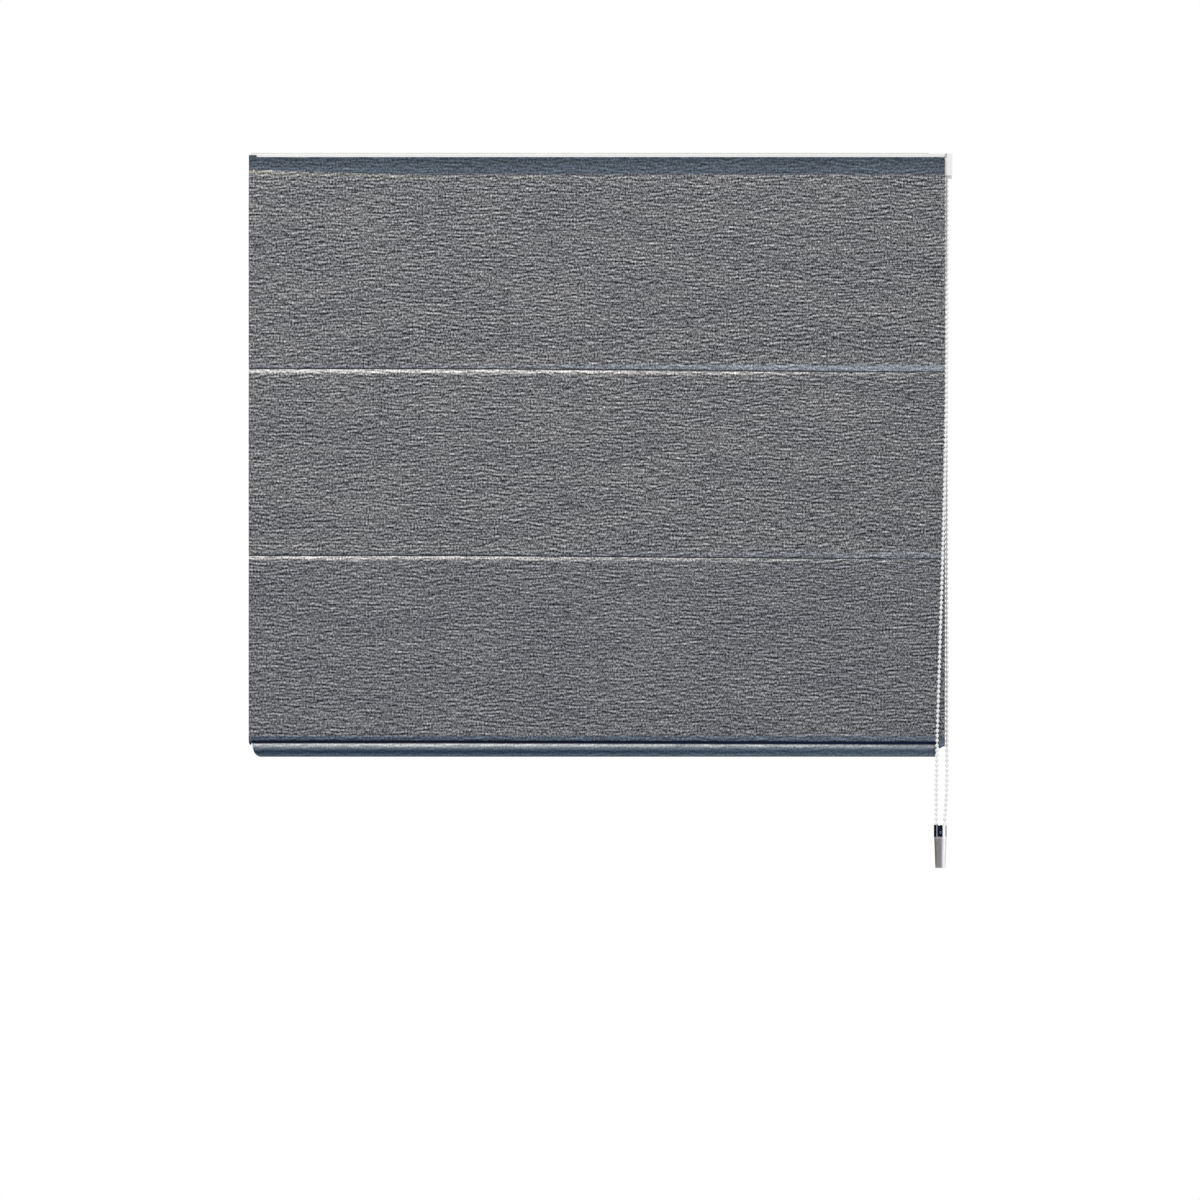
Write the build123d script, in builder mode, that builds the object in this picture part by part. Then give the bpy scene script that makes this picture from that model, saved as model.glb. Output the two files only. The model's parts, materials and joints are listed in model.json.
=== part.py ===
from build123d import *
from math import cos, pi, sin, sqrt
import os

os.makedirs("parts", exist_ok=True)

# A roman blind, let down. X runs along the rail, the room is at -Y and +Z is up.
# The origin is the middle of the wall screws: the wall is the plane Y = 0.

# Cloth
cloth_width = 850.0
cloth_thickness = 1.0
cloth_reveal = 5.5  # rail left bare above the cloth
first_panel = 236.0  # from under the rail to the upper batten
panel_height = 228.0  # every panel below it
panel_belly = 3.3  # how far a panel stands out in front of its grooves
groove_reach = 7.5  # from the bottom of a groove to the flat of the panel
groove_radius = 1.2
shoulder_radius = 6.0
belly_radius = 900.0
panel_bow = 0.6  # how much further out the middle of a panel stands

# Headrail, a white extrusion with an open floor
rail_height = 28.0
rail_depth = 38.0
rail_wall = 1.3
rail_corner = 1.0
wall_gap = 3.0  # from the wall to the back of the rail
deck_drop = 3.2  # the deck lies this far under the top of the front wall
hook_overhang = 1.8
floor_lip = 6.0
catch_rib = 0.8
catch_rib_height = 1.2
catch_rib_level = 4.0

# Brackets
bracket_spread = 660.0
bracket_width = 40.0
bracket_plate = 1.5
wall_hole_spacing = 16.0
top_hole_spacing = 14.0
top_hole_middle = 21.0  # from the wall
bracket_hole = 2.3
bracket_tab = 12.0
bracket_clearance = 0.2

# Hook and loop tape that holds the cloth to the rail
tape_thickness = 1.2
tape_height = 20.0
tape_inset = 2.0

# Drive line
drive_depth = 24.0  # from the wall to the shaft
drive_level = -2.5
shaft_width = 6.0
shaft_fit = 0.05
running_fit = 0.05
part_fit = 0.2

# Spools and cords
cord_spacing = 290.0
cord_diameter = 1.4
drum_radius = 7.0
drum_length = 22.0
spool_flange = 1.5
spool_flange_radius = 10.0
journal_radius = 5.0
journal_length = 3.5
wound_turns = 3
cradle_wall = 2.0
cradle_ledge = 1.8
cradle_ledge_width = 10.0
guide_radius = 1.3

# End cap and the plugs that go into the rail
end_plate = 2.5
plug_length = 12.0
plug_wall = 1.6
bearing_wall = 2.0
bush_length = 9.5
bush_flange = 1.5

# Bead chain and its wheel
bead_radius = 2.25
bead_pitch = 6.0
bead_half = 2.2  # half a bead along the chain
link_radius = 0.75
wheel_beads = 10
wheel_width = 7.5
wheel_rim = 0.9  # how far the rim stands above the bead centres
wheel_side_gap = 0.3
pocket_clearance = 0.2
groove_width = 2.4
chain_offset = 3.3  # from the edge of the cloth to the middle of the chain

# Control unit
clutch_length = 20.0
control_wall = 1.6
chamber_gap = 0.65
cover_thickness = 2.0
spindle_radius = 6.25
spindle_bore = 4.6
spindle_flange = 1.0
spindle_flange_radius = 8.0
sleeve_inner = 8.2
sleeve_wall = 1.2
clutch_slot = 6.2
spring_wire = 1.1
spring_turns = 8
finger_width = 3.0
hub_disc = 3.2
hub_web = 1.0  # left between the shaft's bore and the hub's disc front
sleeve_step = 1.5  # from the hub's disc to the wheel's sleeve
hub_boss_radius = 7.0
hub_boss_length = 8.5

# Battens in their pockets
batten_height = 12.0
batten_thickness = 2.0
batten_inset = 5.0
pocket_height = 16.0
pocket_depth = 4.0
pocket_cavity_height = 13.0
pocket_cavity_depth = 2.6
pocket_inset = 3.0
cloth_gap = 0.3

# Cord rings and anchors
ring_plate = 1.2
ring_plate_width = 9.0
ring_plate_height = 9.0
ring_inner = 3.2
ring_outer = 5.2
ring_thickness = 1.6
eye_offset = 1.2  # the ring's middle lies this far in front of the cord
orb_radius = 4.2
orb_length = 12.0
orb_chamfer = 1.4

# Bottom bar in its sleeve of cloth
sleeve_height = 18.0
sleeve_depth = 9.0
sleeve_layer = 1.0
sleeve_tail = 8.0
sleeve_end_top = 2.0  # the ends are cut on a slant
sleeve_end_bottom = 11.0
bar_clearance = 0.3
bar_wall = 1.2
bar_inset = 17.0
bar_cap = 2.0
bar_cap_plug = 8.0

# Chain weight
weight_middle_x = 419.6
weight_depth = 46.0  # from the wall
weight_top = -806.7
weight_radius = 8.0
weight_cap_length = 14.9
weight_cap_wall = 0.6
weight_cap_roof = 1.2
weight_body_length = 38.2
weight_foot_radius = 6.3
weight_collar = 1.6
weight_spigot = 1.2
weight_chamfer = 0.4
pulley_beads = 5
pulley_width = 6.0
pulley_rim = 0.1
pulley_rise = 5.6  # from the foot of the cap to the pulley's axle
pin_radius = 1.2

# Worked out from the sizes above
rail_top = rail_height / 2
rail_bottom = -rail_height / 2
rail_rear = -wall_gap
rail_front = rail_rear - rail_depth
deck_top = rail_top - deck_drop
cloth_half = cloth_width / 2
rail_left = -cloth_half + end_plate
drive_y = -drive_depth
cord_y = drive_y - drum_radius - cord_diameter / 2 - running_fit
cord_places = [-cord_spacing, 0.0, cord_spacing]
cord_names = ["left", "middle", "right"]

cloth_back = rail_front - 2 * tape_thickness
cloth_top = rail_top - cloth_reveal
upper_groove = rail_bottom - first_panel
lower_groove = upper_groove - panel_height
hem_crease = lower_groove - panel_height

wheel_pitch = bead_pitch / 2 / sin(pi / wheel_beads)
pulley_pitch = bead_pitch / 2 / sin(pi / pulley_beads)
chain_x = cloth_half + chain_offset
chamber_radius = wheel_pitch + bead_radius + chamber_gap
chamber_floor = chain_x - wheel_width / 2 - wheel_side_gap
cover_inner = chain_x + wheel_width / 2 + wheel_side_gap
rail_right = chamber_floor - clutch_length
clutch_sleeve = sleeve_inner + sleeve_wall
clutch_bore = clutch_sleeve + 2 * part_fit
sleeve_left = rail_right + hub_disc + sleeve_step
hub_left = rail_right + part_fit
pulley_level = weight_top - weight_cap_length + pulley_rise
weight_y = -weight_depth

plug_front = rail_front + rail_wall + part_fit
plug_rear = rail_rear - rail_wall - part_fit
plug_low = rail_bottom + rail_wall + part_fit
plug_high = deck_top - rail_wall - part_fit


def write(shape, name):
    """Labels a finished piece and writes it to its own file."""
    shape.label = name
    export_step(shape, f"parts/{name}.step")


def band(front, rear, low, high):
    """Draws the rectangle between two depths and two heights of a section."""
    with Locations(((front + rear) / 2, (low + high) / 2)):
        Rectangle(abs(rear - front), abs(high - low))


def block(left, right, front, rear, low, high, mode=Mode.ADD):
    """Adds or cuts the block between two places along each axis."""
    with Locations(((left + right) / 2, (front + rear) / 2, (low + high) / 2)):
        Box(abs(right - left), abs(rear - front), abs(high - low), mode=mode)


def turned(left, right, radius, mode=Mode.ADD):
    """Adds or cuts a round bar on the drive line, from left to right."""
    with Locations(((left + right) / 2, drive_y, drive_level)):
        Cylinder(radius, right - left, rotation=(0, 90, 0), mode=mode)


def square_bore(left, right):
    """Cuts the square hole that the drive shaft goes through."""
    hole = shaft_width + 2 * shaft_fit
    block(left, right, drive_y - hole / 2, drive_y + hole / 2,
          drive_level - hole / 2, drive_level + hole / 2, mode=Mode.SUBTRACT)


# Headrail
with BuildPart() as headrail:
    with BuildSketch(Plane.YZ.offset(rail_left)) as rail_section:
        band(rail_front, rail_front + rail_wall, rail_bottom, rail_top)
        band(rail_front, rail_front + rail_wall + hook_overhang, rail_top - rail_wall, rail_top)
        band(rail_front, rail_rear, deck_top - rail_wall, deck_top)
        band(rail_rear - rail_wall, rail_rear, rail_bottom, deck_top)
        band(rail_front, rail_front + floor_lip, rail_bottom, rail_bottom + rail_wall)
        band(rail_rear - floor_lip, rail_rear, rail_bottom, rail_bottom + rail_wall)
        band(rail_rear, rail_rear + catch_rib, catch_rib_level, catch_rib_level + catch_rib_height)
        fillet(rail_section.vertices().group_by(Axis.X)[0], rail_corner)
    extrude(amount=rail_right - rail_left)
write(headrail.part, "headrail")

# Brackets: a plate on the wall, bent forward over the deck and into the front hook
bracket_top = deck_top + bracket_clearance + bracket_plate
bracket_tip = rail_front + rail_wall + bracket_clearance
tab_top = catch_rib_level - 2 * bracket_clearance
tab_tip = rail_rear + bracket_clearance / 2
for side, name in ((-1, "left"), (1, "right")):
    middle = side * bracket_spread / 2
    with BuildPart() as bracket:
        with BuildSketch(Plane.YZ.offset(middle - bracket_width / 2)) as bracket_section:
            band(-bracket_plate, 0, rail_bottom, bracket_top)
            band(bracket_tip, 0, bracket_top - bracket_plate, bracket_top)
            corner = bracket_section.vertices().group_by(Axis.X)[-1].sort_by(Axis.Y)[-1]
            fillet(corner, bracket_plate)
        extrude(amount=bracket_width)
        upright = bracket.edges().filter_by(Axis.Z).group_by(Axis.Y)[0]
        fillet(upright, 4 * bracket_plate)
        foot = bracket.edges().filter_by(Axis.Y).group_by(Axis.Z)[0]
        fillet(foot, 2 * bracket_plate)
        block(middle - bracket_tab / 2, middle + bracket_tab / 2, tab_tip, -bracket_plate,
              tab_top - bracket_plate, tab_top)
        with BuildSketch(Plane.XZ):
            with Locations((middle, wall_hole_spacing / 2), (middle, -wall_hole_spacing / 2)):
                Circle(bracket_hole)
        extrude(amount=bracket_plate, both=True, mode=Mode.SUBTRACT)
        with BuildSketch(Plane.XY.offset(bracket_top)):
            with Locations((middle, -top_hole_middle)):
                with GridLocations(1, top_hole_spacing, 1, 2):
                    Circle(bracket_hole)
        extrude(amount=-bracket_plate, mode=Mode.SUBTRACT)
    write(bracket.part, f"mounting_bracket_{name}")

# Hook tape on the rail and loop tape on the back of the cloth
tape_half = cloth_half - tape_inset
tape_high = cloth_top - tape_inset / 4
for number, name in ((0, "hook_tape"), (1, "loop_tape")):
    tape_rear = rail_front - number * tape_thickness
    with BuildPart() as tape:
        block(-tape_half, tape_half, tape_rear - tape_thickness, tape_rear,
              tape_high - tape_height, tape_high)
    write(tape.part, name)

# Face cloth: one piece from the tape to the crease over the bottom bar
face_line = [(cloth_back, cloth_top), (cloth_back, rail_bottom + cloth_thickness)]
face_end = hem_crease + cloth_thickness / 2
grooves = [rail_bottom - groove_reach, upper_groove, lower_groove, face_end]
for above, below in zip(grooves, grooves[1:]):
    shoulder_high = above - groove_reach
    shoulder_low = below + groove_reach
    half_way = (shoulder_high + shoulder_low) / 2
    face_line.append((cloth_back - panel_belly, shoulder_high))
    face_line.append((cloth_back - panel_belly - panel_bow, half_way))
    face_line.append((cloth_back - panel_belly, shoulder_low))
    face_line.append((cloth_back, below))
line_radii = [shoulder_radius]
for groove in grooves[1:]:
    line_radii += [shoulder_radius, belly_radius, shoulder_radius, groove_radius + cloth_thickness]
with BuildPart() as face_fabric:
    with BuildSketch(Plane.YZ.offset(-cloth_half)):
        with BuildLine():
            FilletPolyline(*face_line, radius=line_radii[:-1])
            offset(amount=cloth_thickness, side=Side.RIGHT)
        make_face()
    extrude(amount=cloth_width)
write(face_fabric.part, "face_fabric")


def rail_plug(left, right):
    """Adds the hollow plug that goes inside the end of the rail."""
    block(left, right, plug_front, plug_rear, plug_low, plug_high)
    block(left, right, plug_front + plug_wall, plug_rear - plug_wall, plug_low + plug_wall,
          plug_high - plug_wall, mode=Mode.SUBTRACT)


def end_face(place):
    """The outline of the rail's end, as a face at a place along X."""
    with BuildSketch(Plane.YZ.offset(place)) as outline:
        band(rail_front, rail_rear, rail_bottom, rail_top)
        fillet(outline.vertices(), rail_corner)
    return outline.sketch


# End cap with the bearing for the shaft's left end
bearing_radius = journal_radius + running_fit
with BuildPart() as end_cap_left:
    extrude(end_face(-cloth_half), amount=end_plate)
    rail_plug(rail_left, rail_left + plug_length)
    turned(rail_left, rail_left + plug_length, bearing_radius + bearing_wall)
    turned(rail_left, rail_left + plug_length, bearing_radius, mode=Mode.SUBTRACT)
write(end_cap_left.part, "end_cap_left")

bush_left = rail_left + plug_length + part_fit - bush_length
bush_right = rail_left + plug_length + part_fit
with BuildPart() as shaft_bush:
    turned(bush_left, bush_right, journal_radius)
    turned(bush_right, bush_right + bush_flange, bearing_radius + bearing_wall)
    square_bore(bush_left, bush_right + bush_flange)
write(shaft_bush.part, "shaft_bush")

# Drive shaft, a square bar from the bush to the hub of the control unit
shaft_left = bush_left + part_fit
hub_disc_right = hub_left + hub_disc
with BuildPart() as drive_shaft:
    half_shaft = shaft_width / 2
    block(shaft_left, hub_disc_right - 1.5 * hub_web, drive_y - half_shaft, drive_y + half_shaft,
          drive_level - half_shaft, drive_level + half_shaft)
write(drive_shaft.part, "drive_shaft")

# Spools, their cradles and the turns of cord on them
spool_half = drum_length / 2 + spool_flange
turn_outer = drum_radius + running_fit + cord_diameter
for place, name in zip(cord_places, cord_names):
    with BuildPart() as spool:
        turned(place - spool_half - journal_length, place + spool_half + journal_length,
               journal_radius)
        turned(place - spool_half, place + spool_half, drum_radius)
        for start in (place - spool_half, place + spool_half - spool_flange):
            turned(start, start + spool_flange, spool_flange_radius)
        square_bore(place - spool_half - journal_length, place + spool_half + journal_length)
    write(spool.part, f"cord_spool_{name}")

    plate_inner = spool_half + part_fit
    plate_outer = plate_inner + cradle_wall
    with BuildPart() as cradle:
        for start in (place - plate_outer, place + plate_inner):
            block(start, start + cradle_wall, plug_front, plug_rear,
                  rail_bottom + rail_wall, drive_level + spool_flange_radius - cradle_wall)
        for rear in (plug_front + cradle_wall, plug_rear):
            block(place - plate_inner, place + plate_inner, rear - cradle_wall, rear,
                  rail_bottom + rail_wall, drive_level - journal_radius)
        block(place - cradle_ledge_width / 2, place + cradle_ledge_width / 2,
              plug_front + cradle_wall, cord_y + 2 * guide_radius,
              rail_bottom + rail_wall, rail_bottom + rail_wall + cradle_ledge)
        with BuildSketch(Plane.XY.offset(rail_bottom + rail_wall)):
            with Locations((place, cord_y)):
                Circle(guide_radius)
        extrude(amount=cradle_ledge, mode=Mode.SUBTRACT)
        turned(place - plate_outer, place + plate_outer, bearing_radius, mode=Mode.SUBTRACT)
        block(place - plate_outer, place + plate_outer, drive_y - bearing_radius,
              drive_y + bearing_radius, drive_level, rail_top, mode=Mode.SUBTRACT)
    write(cradle.part, f"spool_cradle_{name}")

    turns_left = place - cord_diameter - wound_turns * cord_diameter
    with BuildPart() as turns:
        with BuildSketch(Plane.XY.offset(drive_level)):
            with BuildLine():
                ridge = [(turns_left, drive_y + drum_radius + running_fit)]
                for turn in range(wound_turns):
                    start = turns_left + turn * cord_diameter
                    ridge.append((start, drive_y + turn_outer - cord_diameter / 3))
                    ridge.append((start + cord_diameter / 3, drive_y + turn_outer))
                    ridge.append((start + 2 * cord_diameter / 3, drive_y + turn_outer))
                ridge_end = turns_left + wound_turns * cord_diameter
                ridge.append((ridge_end, drive_y + turn_outer - cord_diameter / 3))
                ridge.append((ridge_end, drive_y + drum_radius + running_fit))
                Polyline(*ridge, close=True)
            make_face()
        revolve(axis=Axis((0, drive_y, drive_level), (1, 0, 0)))
    write(turns.part, f"cord_turns_{name}")

# Control housing: a plug in the rail, a bore for the clutch and a chamber for the wheel
strand_slot = bead_radius + chamber_gap
chin_radius = chamber_radius + control_wall
chin_left = chamber_floor - 2 * control_wall
with BuildPart() as control_housing:
    rail_plug(rail_right - plug_length, rail_right)
    extrude(end_face(rail_right), amount=cover_inner - rail_right)
    turned(chin_left, cover_inner, chin_radius)
    turned(rail_right, chamber_floor, clutch_bore, mode=Mode.SUBTRACT)
    turned(chamber_floor, cover_inner, chamber_radius, mode=Mode.SUBTRACT)
    for strand_y in (drive_y - wheel_pitch, drive_y + wheel_pitch):
        block(chain_x - strand_slot, chain_x + strand_slot, strand_y - strand_slot,
              strand_y + strand_slot, drive_level - chin_radius, drive_level,
              mode=Mode.SUBTRACT)
write(control_housing.part, "control_housing")

cover_outer = cover_inner + cover_thickness
with BuildPart() as control_cover:
    extrude(end_face(cover_inner), amount=cover_thickness)
    turned(cover_inner, cover_outer, chin_radius)
    turned(cover_inner, cover_outer, spindle_radius + shaft_fit, mode=Mode.SUBTRACT)
    turned(cover_outer - spindle_flange, cover_outer, spindle_flange_radius + shaft_fit,
           mode=Mode.SUBTRACT)
write(control_cover.part, "control_cover")

# Clutch: a fixed spindle, a spring that grips it, the wheel's slotted sleeve and the hub
spindle_left = hub_disc_right + part_fit
with BuildPart() as clutch_spindle:
    turned(spindle_left, cover_outer, spindle_radius)
    turned(cover_outer - spindle_flange, cover_outer, spindle_flange_radius)
    turned(spindle_left, cover_inner, spindle_bore, mode=Mode.SUBTRACT)
write(clutch_spindle.part, "clutch_spindle")


def pocketed_wheel(half_width, rim, pitch, beads, floor_radius):
    """A wheel about the Z axis, with a groove for the links and a pocket for each bead."""
    pocket_floor = pitch - bead_radius - pocket_clearance
    with BuildPart() as wheel:
        Cylinder(rim, 2 * half_width)
        with BuildSketch(Plane.XY.offset(-groove_width / 2)):
            Circle(rim)
            Circle(floor_radius, mode=Mode.SUBTRACT)
        extrude(amount=groove_width, mode=Mode.SUBTRACT)
        for number in range(beads):
            angle = number * 2 * pi / beads
            outward = Vector(cos(angle), sin(angle), 0)
            with BuildSketch(Plane(origin=outward * pocket_floor, z_dir=outward)):
                Circle(bead_radius + pocket_clearance)
            extrude(amount=rim, mode=Mode.SUBTRACT)
    return wheel.part


# The wheel is made about its own axis, then turned to lie on the drive line
drive_plane = Plane(origin=(chain_x, drive_y, drive_level), x_dir=(0, 0, 1), z_dir=(1, 0, 0))
wheel_floor = wheel_pitch * cos(pi / wheel_beads) - link_radius - pocket_clearance
sleeve_reach = chain_x - sleeve_left
wheel_blank = pocketed_wheel(wheel_width / 2, wheel_pitch + wheel_rim, wheel_pitch, wheel_beads,
                             wheel_floor)
with BuildPart() as wheel_shape:
    add(wheel_blank)
    with BuildSketch(Plane.XY.offset(-wheel_width / 2)):
        Circle(clutch_sleeve)
        Circle(sleeve_inner, mode=Mode.SUBTRACT)
    extrude(amount=wheel_width / 2 - sleeve_reach)
    with BuildSketch(Plane.XY.offset(-sleeve_reach)):
        with Locations((clutch_sleeve, 0)):
            Rectangle(clutch_sleeve, clutch_slot)
    extrude(amount=sleeve_reach - wheel_width / 2 - sleeve_wall, mode=Mode.SUBTRACT)
    with BuildSketch(Plane.XY.offset(-wheel_width / 2)):
        Circle(spindle_radius + 2 * running_fit)
    extrude(amount=wheel_width, mode=Mode.SUBTRACT)
chain_wheel = drive_plane.location * wheel_shape.part
write(chain_wheel, "chain_wheel")

spring_left = sleeve_left + spring_wire
spring_inner = spindle_radius + running_fit / 2
spring_outer = spring_inner + spring_wire
tang_offset = finger_width / 2 + part_fit + spring_wire / 2
with BuildPart() as wrap_spring:
    with BuildSketch(Plane.XY.offset(drive_level)):
        with BuildLine():
            coil = [(spring_left, drive_y + spring_inner)]
            for turn in range(spring_turns):
                start = spring_left + turn * spring_wire
                coil.append((start, drive_y + spring_outer - spring_wire / 5))
                coil.append((start + spring_wire / 5, drive_y + spring_outer))
                coil.append((start + 4 * spring_wire / 5, drive_y + spring_outer))
            spring_right = spring_left + spring_turns * spring_wire
            coil.append((spring_right, drive_y + spring_outer - spring_wire / 5))
            coil.append((spring_right, drive_y + spring_inner))
            Polyline(*coil, close=True)
        make_face()
    revolve(axis=Axis((0, drive_y, drive_level), (1, 0, 0)))
    for tang_left, side in ((spring_left, -1), (spring_right - spring_wire, 1)):
        tang_y = drive_y + side * tang_offset
        block(tang_left, tang_left + spring_wire, tang_y - spring_wire / 2,
              tang_y + spring_wire / 2, drive_level + spring_inner,
              drive_level + clutch_sleeve - part_fit)
write(wrap_spring.part, "wrap_spring")

hub_radius = clutch_sleeve - running_fit
with BuildPart() as output_hub:
    turned(hub_left - hub_boss_length, hub_left, hub_boss_radius)
    turned(hub_left, hub_disc_right, hub_radius)
    turned(hub_disc_right, cover_inner - spindle_flange, spindle_bore - running_fit)
    block(hub_disc_right, spring_right, drive_y - finger_width / 2,
          drive_y + finger_width / 2, drive_level + spring_outer + part_fit,
          drive_level + clutch_sleeve - part_fit)
    square_bore(hub_left - hub_boss_length, hub_disc_right - hub_web)
write(output_hub.part, "output_hub")

# Battens, each in a pocket of cloth sewn behind a groove
pocket_front = cloth_back + cloth_gap
pocket_rear = pocket_front + pocket_depth
pocket_middle = (pocket_front + pocket_rear) / 2
pocket_half = cloth_half - pocket_inset
batten_half = cloth_half - batten_inset
eye_y = cord_y - eye_offset


def cord_eye(place, level, seat):
    """Adds a plate sewn on at the seat, with a flat ring round the cord."""
    block(place - ring_plate_width / 2, place + ring_plate_width / 2, seat, seat + ring_plate,
          level - ring_plate_height / 2, level + ring_plate_height / 2)
    block(place - ring_plate / 2 - ring_inner / 2, place + ring_plate / 2 + ring_inner / 2,
          seat, eye_y - ring_inner, level - ring_thickness / 2, level + ring_thickness / 2)
    with Locations((place, eye_y, level)):
        Cylinder(ring_outer, ring_thickness)
        Cylinder(ring_inner, ring_thickness, mode=Mode.SUBTRACT)


for level, row in ((upper_groove, "upper"), (lower_groove, "lower")):
    with BuildPart() as pocket:
        with BuildSketch(Plane.YZ.offset(-pocket_half)):
            with Locations((pocket_middle, level)):
                RectangleRounded(pocket_depth, pocket_height, pocket_depth / 4)
                RectangleRounded(pocket_cavity_depth, pocket_cavity_height,
                                 pocket_cavity_depth / 4, mode=Mode.SUBTRACT)
        extrude(amount=2 * pocket_half)
    write(pocket.part, f"batten_pocket_{row}")

    with BuildPart() as batten:
        with BuildSketch(Plane.YZ.offset(-batten_half)):
            with Locations((pocket_middle, level)):
                RectangleRounded(batten_thickness, batten_height, batten_thickness / 4)
        extrude(amount=2 * batten_half)
    write(batten.part, f"batten_{row}")

    for place, name in zip(cord_places, cord_names):
        with BuildPart() as ring:
            cord_eye(place, level, pocket_rear)
        write(ring.part, f"cord_ring_{row}_{name}")

# Bottom bar: an oval tube in a sleeve of cloth that hangs from the crease
sleeve_middle_z = hem_crease - sleeve_height / 2
tail_front = cloth_back + cloth_gap
sleeve_middle_y = tail_front + 2 * sleeve_layer - sleeve_depth / 2
cavity_height = sleeve_height - 2 * sleeve_layer
cavity_depth = sleeve_depth - 2 * sleeve_layer
with BuildPart() as bar_sleeve:
    with BuildSketch(Plane.YZ.offset(-cloth_half)):
        with Locations((sleeve_middle_y, sleeve_middle_z)):
            SlotOverall(sleeve_height, sleeve_depth, rotation=90)
        band(tail_front, tail_front + 2 * sleeve_layer, hem_crease - sleeve_depth / 2,
             hem_crease + sleeve_tail)
        with Locations((sleeve_middle_y, sleeve_middle_z)):
            SlotOverall(cavity_height, cavity_depth, rotation=90, mode=Mode.SUBTRACT)
    extrude(amount=cloth_width)
    for side in (-1, 1):
        slant = Vector(-side * (sleeve_end_bottom - sleeve_end_top), 0, -sleeve_height - sleeve_tail)
        upper_end = Vector(side * (cloth_half - sleeve_end_top), 0, hem_crease + sleeve_tail)
        end_plane = Plane(origin=upper_end, z_dir=Vector(0, side, 0).cross(slant))
        split(bisect_by=end_plane, keep=Keep.BOTTOM)
write(bar_sleeve.part, "bar_sleeve")

bar_height = cavity_height - 2 * bar_clearance
bar_depth = cavity_depth - 2 * bar_clearance
bar_half = cloth_half - bar_inset
with BuildPart() as bottom_bar:
    with BuildSketch(Plane.YZ.offset(-bar_half)):
        with Locations((sleeve_middle_y, sleeve_middle_z)):
            SlotOverall(bar_height, bar_depth, rotation=90)
            SlotOverall(bar_height - 2 * bar_wall, bar_depth - 2 * bar_wall, rotation=90,
                        mode=Mode.SUBTRACT)
    extrude(amount=2 * bar_half)
write(bottom_bar.part, "bottom_bar")

plug_height = bar_height - 2 * bar_wall - 2 * running_fit
plug_depth = bar_depth - 2 * bar_wall - 2 * running_fit
for side, name in ((-1, "left"), (1, "right")):
    with BuildPart() as bar_end:
        with BuildSketch(Plane.YZ.offset(side * bar_half)):
            with Locations((sleeve_middle_y, sleeve_middle_z)):
                SlotOverall(bar_height, bar_depth, rotation=90)
        extrude(amount=side * bar_cap)
        with BuildSketch(Plane.YZ.offset(side * bar_half)):
            with Locations((sleeve_middle_y, sleeve_middle_z)):
                SlotOverall(plug_height, plug_depth, rotation=90)
        extrude(amount=-side * bar_cap_plug)
    write(bar_end.part, f"bottom_bar_cap_{name}")

# Anchors on the sleeve's tail and the orbs that lock the cords under them
anchor_level = hem_crease + sleeve_tail / 2
orb_top = anchor_level - ring_thickness / 2
for place, name in zip(cord_places, cord_names):
    with BuildPart() as anchor:
        cord_eye(place, anchor_level, tail_front + 2 * sleeve_layer)
    write(anchor.part, f"cord_anchor_{name}")

    with BuildPart() as orb:
        with BuildSketch(Plane.XY.offset(orb_top)):
            with Locations((place, cord_y)):
                Circle(orb_radius)
        extrude(amount=-orb_length)
        chamfer(orb.edges(), orb_chamfer)
        with BuildSketch(Plane.XY.offset(orb_top)):
            with Locations((place, cord_y)):
                Circle(cord_diameter / 2 + part_fit)
        extrude(amount=-orb_length, mode=Mode.SUBTRACT)
    write(orb.part, f"cord_orb_{name}")

    with BuildPart() as lift_cord:
        with BuildSketch(Plane.XY.offset(drive_level)):
            with Locations((place, cord_y)):
                Circle(cord_diameter / 2)
        extrude(amount=orb_top - orb_length / 2 - drive_level)
    write(lift_cord.part, f"lift_cord_{name}")

# Chain weight: a bright cap with two holes over a turned body, with a pulley inside
cap_foot = weight_top - weight_cap_length
cap_inner = weight_radius - weight_cap_wall
with BuildPart() as weight_cap:
    with BuildSketch(Plane.XY.offset(cap_foot)):
        with Locations((weight_middle_x, weight_y)):
            Circle(weight_radius)
    extrude(amount=weight_cap_length)
    fillet(weight_cap.edges().group_by(Axis.Z)[-1], weight_cap_wall)
    with BuildSketch(Plane.XY.offset(cap_foot)):
        with Locations((weight_middle_x, weight_y)):
            Circle(cap_inner)
    extrude(amount=weight_cap_length - weight_cap_roof, mode=Mode.SUBTRACT)
    with BuildSketch(Plane.XY.offset(weight_top)):
        with Locations((weight_middle_x, weight_y)):
            with GridLocations(2 * pulley_pitch, 1, 2, 1):
                Circle(bead_radius + pocket_clearance)
    extrude(amount=-2 * weight_cap_roof, mode=Mode.SUBTRACT)
    with BuildSketch(Plane.XZ.offset(-weight_y)):
        with Locations((weight_middle_x, pulley_level)):
            Circle(pin_radius + running_fit / 2)
    extrude(amount=2 * weight_radius, both=True, mode=Mode.SUBTRACT)
write(weight_cap.part, "weight_cap")

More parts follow.
